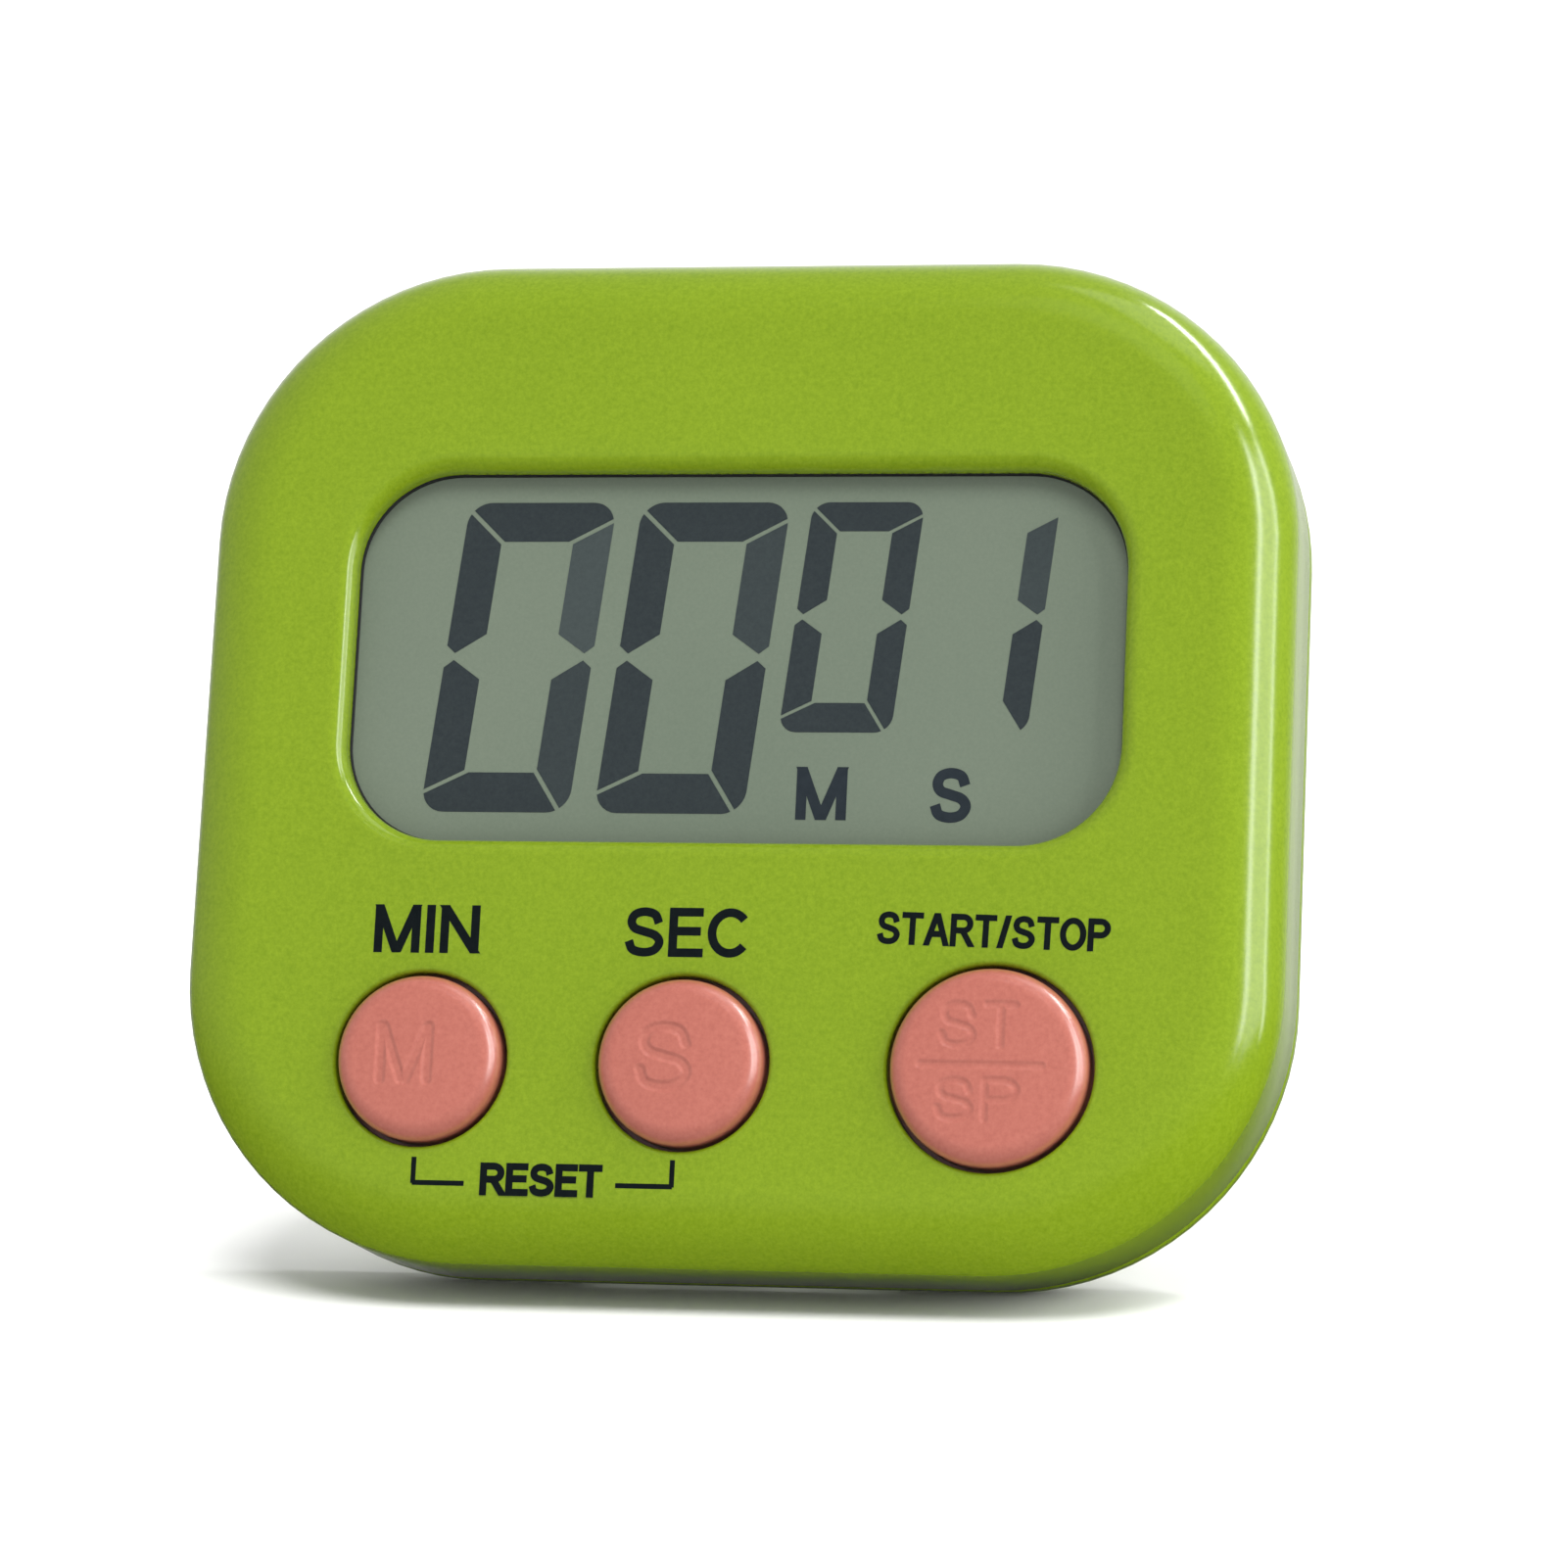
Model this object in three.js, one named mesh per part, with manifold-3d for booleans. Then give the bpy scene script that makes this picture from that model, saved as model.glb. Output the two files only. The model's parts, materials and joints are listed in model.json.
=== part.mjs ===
// Digital kitchen timer: a rounded plastic case with a liquid crystal display and three round buttons,
// which stands on a kickstand folded out of its back. Millimetres, +Z up, the display faces -Y.
//
// Every piece is first laid out in the case's own frame, lying on its back: x to the right, y up the
// face and z out of the display, with z = 0 on the front face. The whole timer is then leaned back.

import * as THREE from 'three';
import { mergeVertices } from 'three/addons/utils/BufferGeometryUtils.js';
import Module from 'manifold-3d';

const wasm = await Module();
wasm.setup();

// ---- driving dimensions ------------------------------------------------------------------------

const CASE = {
  width: 63, height: 58.3, depth: 13, corner: 16.5,
  wall: 1.8, face: 1.5,
  frontInner: 2.6, rearInner: 0.8,        // the roundings inside the front edge and the rear edge
  frontInset: 4.2, frontRise: 3.6,        // the soft rounding of the front edge
  rearInset: 2.0, rearRise: 2.5,          // the tighter rounding of the rear edge
  parting: 9.6, seamGap: 0.15,            // depth at which the front case ends, and the gap behind it
  tongue: 1.0, tongueRise: 1.4,           // the cover's tongue inside the front case's wall
};
const WINDOW = { x: -0.1, y: 5.5, width: 44.6, height: 21.6, corner: 5.75 };
const LCD = {
  drop: 1.8, side: 1.7, top: 2.7, ledge: 5.0, step: 2.3,
  film: 0.2, glass: 1.1, gap: 0.05, filmInset: 0.4,
};
const BUTTONS = [
  { name: 'minute', x: -16.74, radius: 4.7 },
  { name: 'second', x: -1.74, radius: 4.7 },
  { name: 'start_stop', x: 15.64, radius: 5.55 },
];
const BUTTON = { y: -18.0, proud: 1.2, edge: 0.6, gap: 0.25, flange: 1.0, flangeThick: 1.0, hub: 2.2 };
const DOME = { base: 4.8, mouth: 3.8, top: 2.4, rim: 0.5, skin: 0.9 };
const BOARD = { depth: 5.95, thick: 1.0, top: 1.0, edgeGap: 0.8 };
const BOARD_SCREW = { shank: 0.7, head: 1.5, headThick: 1.2, boss: 1.7, pilot: 2.6, lowY: -23.8, highY: -3.5 };
const CASE_SCREW = {
  shank: 0.9, head: 1.7, headThick: 1.2, boss: 2.3, length: 8.2,
  pilot: 3.4,                             // depth of its pilot hole's end below the face
  high: 48.6, low: -38,                   // turn of its place round the case's corner, in degrees
};
const CELL = { radius: 5.8, thick: 5.4, y: 9, door: 7.7, lip: 0.8, skirt: 0.55, tab: 1.0, tabWidth: 3 };
const MAGNET = { radius: 7, thick: 2.4, y: 9, pocketWall: 1.3, pocketFloor: 1 };
const BUZZER = { radius: 9, ceramic: 6.6, y: 9, hole: 0.8, holeCircle: 3.8, holes: 6 };
const STAND = { width: 18, thick: 2.0, pivotY: -2, pin: 0.7, pinReach: 1.2, open: 32, wall: 1.5 };
const COIN_SLOT = { length: 10, width: 1.8, depth: 0.5 };
const FIT = 0.3;                          // running clearance between pieces that move or seat
const OVERLAP = 0.5;                      // how far two solids run into one another where they join
const LEAN = THREE.MathUtils.degToRad(20);

// ---- sizes that follow from them ---------------------------------------------------------------

const BACK = -CASE.depth;
const COVER_INSIDE = BACK + CASE.wall;
const HALF_WIDTH = CASE.width / 2;
const HALF_HEIGHT = CASE.height / 2;
const INNER_HALF_WIDTH = HALF_WIDTH - CASE.wall;
const BOARD_FRONT = -BOARD.depth;
const BOARD_BACK = BOARD_FRONT - BOARD.thick;
const FLANGE_TOP = -CASE.face - FIT;
const FLANGE_BOTTOM = FLANGE_TOP - BUTTON.flangeThick;
const HUB_END = FLANGE_BOTTOM - 0.6;
const SMALL = 14;                          // sides of a small round piece
const ROUND = 28;                          // sides of a large round piece

const GLASS = {
  left: WINDOW.x - WINDOW.width / 2 - LCD.side,
  right: WINDOW.x + WINDOW.width / 2 + LCD.side,
  top: WINDOW.y + WINDOW.height / 2 + LCD.top,
  bottom: WINDOW.y - WINDOW.height / 2 - LCD.ledge,
};

// ---- shapes ------------------------------------------------------------------------------------

// A closed three.js geometry as a solid that can be joined and cut.
function solid(geometry) {
  const bare = geometry.clone();
  bare.deleteAttribute('normal');
  bare.deleteAttribute('uv');
  const merged = mergeVertices(bare, 1e-4);
  return new wasm.Manifold(new wasm.Mesh({
    numProp: 3,
    vertProperties: new Float32Array(merged.attributes.position.array),
    triVerts: new Uint32Array(merged.index.array),
  }));
}

function geometryOf(body) {
  const { vertProperties, triVerts } = body.getMesh();
  const geometry = new THREE.BufferGeometry();
  geometry.setAttribute('position', new THREE.BufferAttribute(new Float32Array(vertProperties), 3));
  geometry.setIndex(new THREE.BufferAttribute(new Uint32Array(triVerts), 1));
  geometry.computeVertexNormals();
  return geometry;
}

function union(bodies) {
  return bodies.reduce((whole, body) => whole.add(body));
}

function roundedRectangle(width, height, radius, x = 0, y = 0) {
  const right = x + width / 2 - radius;
  const left = x - width / 2 + radius;
  const top = y + height / 2 - radius;
  const bottom = y - height / 2 + radius;
  const shape = new THREE.Shape();
  shape.absarc(right, top, radius, 0, Math.PI / 2);
  shape.absarc(left, top, radius, Math.PI / 2, Math.PI);
  shape.absarc(left, bottom, radius, Math.PI, Math.PI * 1.5);
  shape.absarc(right, bottom, radius, Math.PI * 1.5, Math.PI * 2);
  shape.closePath();
  return shape;
}

// The outline of the case, or the same outline moved inwards.
function caseOutline(inset = 0) {
  return roundedRectangle(CASE.width - 2 * inset, CASE.height - 2 * inset, CASE.corner - inset);
}

function prism(shape, bottom, top, curveSegments = 8) {
  const settings = { depth: top - bottom, bevelEnabled: false, curveSegments };
  return solid(new THREE.ExtrudeGeometry(shape, settings).translate(0, 0, bottom));
}

// A prism whose two ends are rounded: each end face is smaller by inset, over a height of rise.
function roundedPrism(shape, bottom, top, inset, rise) {
  const settings = {
    depth: top - bottom - 2 * rise, curveSegments: 8, bevelEnabled: true, bevelSegments: 4,
    bevelThickness: rise, bevelSize: inset, bevelOffset: -inset,
  };
  return solid(new THREE.ExtrudeGeometry(shape, settings).translate(0, 0, bottom + rise));
}

function box(left, right, front, rear, bottom, top) {
  const geometry = new THREE.BoxGeometry(right - left, rear - front, top - bottom);
  return solid(geometry.translate((left + right) / 2, (front + rear) / 2, (bottom + top) / 2));
}

function post(x, y, radius, bottom, top, sides = SMALL) {
  const geometry = new THREE.CylinderGeometry(radius, radius, top - bottom, sides);
  return solid(geometry.rotateX(Math.PI / 2).translate(x, y, (bottom + top) / 2));
}

function crossPin(radius, length, y, z) {
  const geometry = new THREE.CylinderGeometry(radius, radius, length, SMALL);
  return solid(geometry.rotateZ(Math.PI / 2).translate(0, y, z));
}

// A turned piece standing on z, from [radius, height] points that start and end on the axis.
function turned(points, x, y, sides = ROUND) {
  const profile = points.map(([radius, height]) => new THREE.Vector2(radius, height));
  return solid(new THREE.LatheGeometry(profile, sides).rotateX(Math.PI / 2).translate(x, y, 0));
}

// ---- where the screws and the round pieces of the back go ---------------------------------------

// The case screws stand in the four corners, their bosses against the wall.
function caseScrewPlaces() {
  const reach = CASE.corner - CASE.wall - CASE_SCREW.boss + 0.1;
  const place = (side, degrees, label) => {
    const turn = THREE.MathUtils.degToRad(degrees);
    const centreY = (HALF_HEIGHT - CASE.corner) * Math.sign(degrees);
    const x = side * (HALF_WIDTH - CASE.corner + reach * Math.cos(turn));
    return { label, x, y: centreY + reach * Math.sin(turn) };
  };
  return [
    place(-1, CASE_SCREW.high, 'top_left'), place(1, CASE_SCREW.high, 'top_right'),
    place(-1, CASE_SCREW.low, 'bottom_left'), place(1, CASE_SCREW.low, 'bottom_right'),
  ];
}

// The board screws stand beside the display and between the buttons.
function boardScrewPlaces() {
  const [minute, second, start] = BUTTONS;
  const beside = BOARD_SCREW.boss + 0.5;
  return [
    { label: 'left', x: GLASS.left - beside, y: BOARD_SCREW.highY },
    { label: 'right', x: GLASS.right + beside, y: BOARD_SCREW.highY },
    { label: 'lower_left', x: (minute.x + second.x) / 2, y: BOARD_SCREW.lowY },
    { label: 'lower_right', x: (second.x + start.x) / 2, y: BOARD_SCREW.lowY },
  ];
}

// Depths inside the battery compartment, from the back of the case towards the display.
const DOOR_IN = BACK + 1.0;
const LIP_BACK = DOOR_IN + FIT;
const LIP_FRONT = LIP_BACK + CELL.lip;
const TAB_BACK = LIP_FRONT + FIT;
const TAB_FRONT = TAB_BACK + 0.7;
const GROOVE_FRONT = TAB_FRONT + FIT;
const SKIRT_INSIDE = CELL.radius + 0.25;
const SKIRT_OUTSIDE = SKIRT_INSIDE + CELL.skirt;
const TAB_REACH = SKIRT_OUTSIDE + CELL.tab;
const GROOVE_RADIUS = Math.max(TAB_REACH, CELL.door) + FIT;
const COMPARTMENT_RADIUS = GROOVE_RADIUS + 1.2;
const WELL_RADIUS = CELL.radius + FIT + 1.2;
const CELL_BACK = DOOR_IN + 0.4;
const CELL_FRONT = CELL_BACK + CELL.thick;
const CELL_X = INNER_HALF_WIDTH - COMPARTMENT_RADIUS - 0.5;
const DOOR_LOCKED = THREE.MathUtils.degToRad(40);     // the tabs' turn from x when the door is locked

const BUZZER_X = -(INNER_HALF_WIDTH - BUZZER.radius - 1.7);
const BUZZER_SEAT = COVER_INSIDE + 0.8;

// ---- the kickstand's geometry --------------------------------------------------------------------

// Height above the table, counted from the case's origin, of a point of the leaning case.
function heightOf(y, z) {
  return y * Math.cos(LEAN) + z * Math.sin(LEAN);
}

const OPEN = THREE.MathUtils.degToRad(STAND.open);
const PIVOT_Z = BACK + STAND.thick / 2 + 0.2;
const RECESS_FLOOR = PIVOT_Z + STAND.thick / 2 + FIT;
const RECESS_HALF_WIDTH = STAND.width / 2 + FIT;
const RECESS_TOP = STAND.pivotY + STAND.thick / 2 + FIT;
// The case stands on its rounded rear edge, whose lowest point lies this high.
const HEEL = heightOf(-(HALF_HEIGHT - CASE.rearInset), -(CASE.depth - CASE.rearRise))
  - Math.hypot(CASE.rearInset * Math.cos(LEAN), CASE.rearRise * Math.sin(LEAN));
// The leg is as long as it has to be for its round foot to reach down to the heel's level.
const LEG = (heightOf(STAND.pivotY, PIVOT_Z) - STAND.thick / 2 - HEEL) / Math.cos(OPEN - LEAN);

// ---- case ----------------------------------------------------------------------------------------

function frontCase() {
  const shell = roundedPrism(caseOutline(), BACK - 10, 0, CASE.frontInset, CASE.frontRise)
    .intersect(prism(caseOutline(-1), -CASE.parting, 1))
    .subtract(roundedPrism(caseOutline(CASE.wall), BACK - 10, -CASE.face, CASE.frontInner, CASE.frontInner));
  const windowShape = roundedRectangle(WINDOW.width, WINDOW.height, WINDOW.corner, WINDOW.x, WINDOW.y);
  const bossTop = -CASE.face / 2;
  const caseBosses = caseScrewPlaces().map(({ x, y }) =>
    post(x, y, CASE_SCREW.boss, -CASE.parting, bossTop));
  const boardBosses = boardScrewPlaces().map(({ x, y }) =>
    post(x, y, BOARD_SCREW.boss, BOARD_FRONT + LCD.gap, bossTop));
  const inside = roundedPrism(caseOutline(0.6), BACK - 10, -0.5, CASE.frontInset, CASE.frontRise);
  const cuts = union([
    prism(windowShape, -CASE.face - 1, 1),
    ...BUTTONS.map(({ x, radius }) => post(x, BUTTON.y, radius + BUTTON.gap, -CASE.face - 1, 1, ROUND)),
    ...caseScrewPlaces().map(({ x, y }) => post(x, y, CASE_SCREW.shank + FIT, BACK, -CASE_SCREW.pilot)),
    ...boardScrewPlaces().map(({ x, y }) => post(x, y, BOARD_SCREW.shank + FIT, BACK, -BOARD_SCREW.pilot)),
  ]);
  return union([shell, union([...caseBosses, ...boardBosses]).intersect(inside)]).subtract(cuts);
}

function backCover() {
  const seam = -CASE.parting - CASE.seamGap;
  const rimGap = CASE.wall + FIT;
  const shell = roundedPrism(caseOutline(), BACK, 10, CASE.rearInset, CASE.rearRise)
    .intersect(prism(caseOutline(-1), BACK - 1, seam))
    .subtract(roundedPrism(caseOutline(CASE.wall), COVER_INSIDE, 10, CASE.rearInner, CASE.rearInner));
  const bossRoom = union(caseScrewPlaces().map(({ x, y }) =>
    post(x, y, CASE_SCREW.boss + 0.4, seam, 0)));
  const tongue = prism(caseOutline(rimGap), COVER_INSIDE, seam + CASE.tongueRise)
    .subtract(prism(caseOutline(rimGap + CASE.tongue), COVER_INSIDE - 1, 0))
    .subtract(bossRoom);
  const added = union([
    tongue,
    ...caseScrewPlaces().map(({ x, y }) => post(x, y, CASE_SCREW.boss + 0.7, COVER_INSIDE - OVERLAP, seam)),
    ...compartmentWalls(),
    post(0, MAGNET.y, MAGNET.radius + FIT + MAGNET.pocketWall, COVER_INSIDE - OVERLAP,
      BACK + MAGNET.thick + FIT + MAGNET.pocketFloor, ROUND),
    post(BUZZER_X, BUZZER.y, BUZZER.radius + 0.3, COVER_INSIDE - OVERLAP, BUZZER_SEAT, ROUND)
      .subtract(post(BUZZER_X, BUZZER.y, BUZZER.radius - 0.7, COVER_INSIDE - 1, 0, ROUND)),
    box(-RECESS_HALF_WIDTH - STAND.wall, RECESS_HALF_WIDTH + STAND.wall,
      -HALF_HEIGHT + CASE.wall, RECESS_TOP + STAND.wall, COVER_INSIDE - OVERLAP, RECESS_FLOOR + 1.4),
  ]);
  const hull = prism(caseOutline(0.9), BACK + 0.2, 5)
    .intersect(roundedPrism(caseOutline(0.3), BACK + 0.3, 10, CASE.rearInset, CASE.rearRise));
  return shell.add(added.intersect(hull)).subtract(coverCuts());
}

// The walls round the cell and round the door's bayonet groove.
function compartmentWalls() {
  return [
    post(CELL_X, CELL.y, COMPARTMENT_RADIUS, COVER_INSIDE - OVERLAP, GROOVE_FRONT + 0.5, ROUND),
    post(CELL_X, CELL.y, WELL_RADIUS, COVER_INSIDE - OVERLAP, CELL_FRONT + 0.7, ROUND),
  ];
}

function coverCuts() {
  const notch = box(-CELL.tabWidth / 2 - 0.4, CELL.tabWidth / 2 + 0.4,
    -TAB_REACH - FIT, TAB_REACH + FIT, LIP_BACK - 0.1, LIP_FRONT + 0.1)
    .intersect(post(0, 0, TAB_REACH + FIT, BACK, 0, ROUND))
    .translate([CELL_X, CELL.y, 0]);
  const contactSlot = box(CELL_X - 1.9, CELL_X + 1.9,
    CELL.y - WELL_RADIUS - 1, CELL.y - CELL.radius, GROOVE_FRONT + 0.5, CELL_FRONT + 1);
  const soundHoles = Array.from({ length: BUZZER.holes }, (_, index) => {
    const turn = (index / BUZZER.holes) * Math.PI * 2;
    const x = BUZZER_X + BUZZER.holeCircle * Math.cos(turn);
    const y = BUZZER.y + BUZZER.holeCircle * Math.sin(turn);
    return post(x, y, BUZZER.hole, BACK - 1, COVER_INSIDE + 0.1, 12);
  });
  return union([
    post(CELL_X, CELL.y, CELL.door + FIT, BACK - 1, LIP_BACK, ROUND),
    post(CELL_X, CELL.y, SKIRT_OUTSIDE + FIT, BACK, LIP_FRONT + 0.1, ROUND),
    post(CELL_X, CELL.y, GROOVE_RADIUS, LIP_FRONT, GROOVE_FRONT, ROUND),
    post(CELL_X, CELL.y, CELL.radius + FIT, GROOVE_FRONT - 0.1, 0, ROUND),
    notch, contactSlot,
    post(0, MAGNET.y, MAGNET.radius + FIT, BACK - 1, BACK + MAGNET.thick + FIT, ROUND),
    post(BUZZER_X, BUZZER.y, BUZZER.hole, BACK - 1, COVER_INSIDE + 0.1, 12),
    ...soundHoles,
    ...caseScrewPlaces().map(({ x, y }) =>
      post(x, y, CASE_SCREW.head + FIT, BACK - 1, BACK + CASE_SCREW.headThick + 0.5)),
    ...caseScrewPlaces().map(({ x, y }) => post(x, y, CASE_SCREW.shank + FIT, BACK - 1, 0)),
    box(-RECESS_HALF_WIDTH, RECESS_HALF_WIDTH, -HALF_HEIGHT - 1, RECESS_TOP, BACK - 1, RECESS_FLOOR),
    crossPin(STAND.pin + FIT, 2 * (RECESS_HALF_WIDTH + STAND.wall) + 0.2, STAND.pivotY, PIVOT_Z),
  ]);
}

// ---- display -------------------------------------------------------------------------------------

// A flat sheet of the display, named by its front and its thickness, with a margin inside the glass.
function lcdSheet(front, thick, inset, bottom) {
  return box(GLASS.left + inset, GLASS.right - inset, bottom + inset, GLASS.top - inset,
    -front - thick, -front);
}

function displayNodes() {
  const filmFront = LCD.drop;
  const glassFront = filmFront + LCD.film + LCD.gap;
  const rearFront = glassFront + LCD.glass + LCD.gap;
  const reflectorFront = rearFront + LCD.glass + LCD.gap;
  const rearBottom = GLASS.bottom + LCD.step;
  const stripTop = rearBottom - FIT;
  addNode('lcd_front_polarizer', lcdSheet(filmFront, LCD.film, LCD.filmInset, rearBottom), paint.lcdFilm);
  addNode('lcd_front_glass', lcdSheet(glassFront, LCD.glass, 0, GLASS.bottom), paint.glass);
  addNode('lcd_rear_glass', lcdSheet(rearFront, LCD.glass, 0, rearBottom), paint.glass);
  addNode('lcd_reflector', lcdSheet(reflectorFront, LCD.film, LCD.filmInset, rearBottom), paint.reflector);
  const strip = box(GLASS.left + 2, GLASS.right - 2, GLASS.bottom + 0.1, stripTop,
    BOARD_FRONT + LCD.gap, -glassFront - LCD.glass - LCD.gap);
  addNode('lcd_zebra_strip', strip, paint.rubber);
}

// ---- circuit board ---------------------------------------------------------------------------------

function circuitBoard() {
  const sheet = prism(caseOutline(CASE.wall + BOARD.edgeGap), BOARD_BACK, BOARD_FRONT)
    .intersect(box(-HALF_WIDTH, HALF_WIDTH, -HALF_HEIGHT, BOARD.top, BACK, 0));
  const notches = caseScrewPlaces().map(({ x, y }) =>
    post(x, y, CASE_SCREW.boss + 0.5, BACK, 0));
  const holes = boardScrewPlaces().map(({ x, y }) => post(x, y, BOARD_SCREW.shank + FIT, BACK, 0));
  return sheet.subtract(union([...notches, ...holes]));
}

function chipBlob(radius, height, x, y) {
  const bottom = BOARD_BACK - LCD.gap;
  const arc = Array.from({ length: 7 }, (_, index) => {
    const turn = (index / 6) * Math.PI / 2;
    return [radius * Math.cos(turn), bottom - height * Math.sin(turn)];
  });
  arc[6][0] = 0;
  return turned([...arc.reverse(), [0, bottom]], x, y, 28);
}

function boardNodes() {
  const behind = BOARD_BACK - LCD.gap;
  addNode('circuit_board', circuitBoard(), paint.board);
  addNode('chip_blob', chipBlob(4.6, 1.4, -3, -9.5), paint.epoxy);
  const crystal = new THREE.CylinderGeometry(0.95, 0.95, 6, SMALL).rotateZ(Math.PI / 2);
  addNode('quartz_crystal', solid(crystal.translate(17, -6.5, behind - 1)), paint.tin);
  addNode('capacitor', box(11.2, 13.2, -11.6, -10.3, behind - 1.1, behind), paint.ceramic);
  addNode('pull_up_resistor', box(-14.6, -12.6, -7.2, -6.0, behind - 0.6, behind), paint.epoxy);
  addNode('buzzer_resistor', box(-18.6, -16.6, -7.2, -6.0, behind - 0.6, behind), paint.epoxy);
  boardScrewPlaces().forEach(({ label, x, y }) => {
    const headFront = BOARD_BACK - 0.2;
    const screw = post(x, y, BOARD_SCREW.head, headFront - BOARD_SCREW.headThick, headFront)
      .add(post(x, y, BOARD_SCREW.shank, headFront - 0.1, -3.0));
    addNode(`board_screw_${label}`, screw, paint.steel);
  });
}

// ---- buttons ---------------------------------------------------------------------------------------

// A key cap: a round top with a soft edge, a flange that keeps it in the case and a hub on the dome.
function keyCap(radius, x) {
  const shoulder = BUTTON.proud - BUTTON.edge;
  const edge = Array.from({ length: 6 }, (_, index) => {
    const turn = (index / 5) * Math.PI / 2;
    return [radius - BUTTON.edge * (1 - Math.cos(turn)), shoulder + BUTTON.edge * Math.sin(turn)];
  });
  const flange = radius + BUTTON.flange;
  return turned([
    [0, HUB_END], [BUTTON.hub, HUB_END], [BUTTON.hub, FLANGE_BOTTOM], [flange, FLANGE_BOTTOM],
    [flange, FLANGE_TOP], [radius, FLANGE_TOP], ...edge, [0, BUTTON.proud],
  ], x, BUTTON.y);
}

// The silicone dome under a cap: a plug on a thin cone that buckles when the cap is pressed.
function siliconeDome(x) {
  const foot = BOARD_FRONT + LCD.gap;
  const top = HUB_END - LCD.gap;
  const shoulder = top - 0.7;
  return turned([
    [0, foot + DOME.skin], [DOME.top - 0.6, foot + DOME.skin], [DOME.mouth, foot], [DOME.base, foot],
    [DOME.base, foot + DOME.rim], [DOME.top, shoulder], [DOME.top, top], [0, top],
  ], x, BUTTON.y, 24);
}

// The flanges are relieved where a screw boss stands close to them.
function buttonNodes() {
  const reliefs = union([
    ...caseScrewPlaces().map(({ x, y }) => post(x, y, CASE_SCREW.boss + FIT, BACK, 0)),
    ...boardScrewPlaces().map(({ x, y }) => post(x, y, BOARD_SCREW.boss + FIT, BACK, 0)),
  ]);
  BUTTONS.forEach(({ name, x, radius }) => {
    addNode(`${name}_button`, keyCap(radius, x).subtract(reliefs), paint.button);
    addNode(`${name}_dome`, siliconeDome(x), paint.silicone);
  });
}

// ---- battery, magnet, buzzer -------------------------------------------------------------------------

// The door: a cap flush with the back, a skirt round the cell and two bayonet tabs.
function batteryDoor() {
  const skirt = post(0, 0, SKIRT_OUTSIDE, DOOR_IN - 0.2, TAB_FRONT, ROUND)
    .subtract(post(0, 0, SKIRT_INSIDE, DOOR_IN, 0, ROUND));
  const tabs = box(-TAB_REACH, TAB_REACH, -CELL.tabWidth / 2, CELL.tabWidth / 2, TAB_BACK, TAB_FRONT)
    .intersect(post(0, 0, TAB_REACH, BACK, 0, ROUND))
    .subtract(post(0, 0, SKIRT_OUTSIDE - 0.2, BACK, 0, ROUND));
  const coinSlot = box(-COIN_SLOT.length / 2, COIN_SLOT.length / 2,
    -COIN_SLOT.width / 2, COIN_SLOT.width / 2, BACK - 1, BACK + COIN_SLOT.depth);
  return post(0, 0, CELL.door, BACK, DOOR_IN, ROUND).add(skirt).add(tabs).subtract(coinSlot);
}

// The cell's cap towards the display is a little smaller than its can.
function buttonCell() {
  const step = 0.6;
  return turned([
    [0, CELL_BACK], [CELL.radius - 0.3, CELL_BACK], [CELL.radius, CELL_BACK + 0.3],
    [CELL.radius, CELL_FRONT - step - 0.3], [CELL.radius - 0.3, CELL_FRONT - step],
    [CELL.radius - 1, CELL_FRONT - step], [CELL.radius - 1.2, CELL_FRONT], [0, CELL_FRONT],
  ], CELL_X, CELL.y);
}

function contactNodes() {
  const strip = [CELL_X - 1.5, CELL_X + 1.5];
  const leafBack = CELL_FRONT + 0.85;
  const leafFront = leafBack + 0.25;
  const negative = union([
    box(...strip, BOARD.top - 2.2, CELL.y + 2, leafBack, leafFront),
    box(...strip, BOARD.top - 2.2, BOARD.top - 1, BOARD_FRONT + 0.1, leafFront),
    post(CELL_X, CELL.y, 1, CELL_FRONT + FIT, leafFront - 0.1),
  ]);
  addNode('battery_contact_negative', negative, paint.tin);
  const canBottom = CELL.y - CELL.radius - FIT;
  const footFront = BOARD_BACK - FIT;
  const positive = union([
    box(...strip, canBottom - 0.3, canBottom, GROOVE_FRONT + 0.8, footFront),
    box(...strip, BOARD.top - 2.2, canBottom, footFront - 0.3, footFront),
  ]);
  addNode('battery_contact_positive', positive, paint.tin);
}

function buzzerNodes() {
  const plateFront = BUZZER_SEAT + LCD.gap + 0.25;
  addNode('buzzer_plate', post(BUZZER_X, BUZZER.y, BUZZER.radius, BUZZER_SEAT + LCD.gap, plateFront, ROUND),
    paint.brass);
  addNode('buzzer_ceramic', post(BUZZER_X, BUZZER.y, BUZZER.ceramic,
    plateFront + LCD.gap, plateFront + LCD.gap + 0.25, ROUND), paint.ceramic);
  addNode('buzzer_wire_red', buzzerWire(2.2, 3.0, plateFront + 0.3), paint.wireRed);
  addNode('buzzer_wire_black', buzzerWire(4.6, -7.6, plateFront), paint.wireBlack);
}

// A thin lead from the buzzer's disc, aside by x and y from its centre, to the back of the board.
function buzzerWire(aside, startY, surface) {
  const radius = 0.4;
  const landing = BOARD_BACK - FIT - radius;
  const x = BUZZER_X + aside;
  const points = [
    [x, BUZZER.y + startY, surface + FIT + radius],
    [x + 0.5, BUZZER.y + startY - 1.2, surface + 1.0],
    [x + 1.3, 2.4, landing - 0.3],
    [x + 1.5, 0.6, landing],
    [x + 1.5, -1.4, landing],
  ].map((point) => new THREE.Vector3(...point));
  const circle = new THREE.Shape().absarc(0, 0, radius, 0, Math.PI * 2);
  const path = new THREE.CatmullRomCurve3(points);
  const settings = { steps: 12, bevelEnabled: false, extrudePath: path, curveSegments: 6 };
  return solid(new THREE.ExtrudeGeometry(circle, settings));
}

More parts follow.
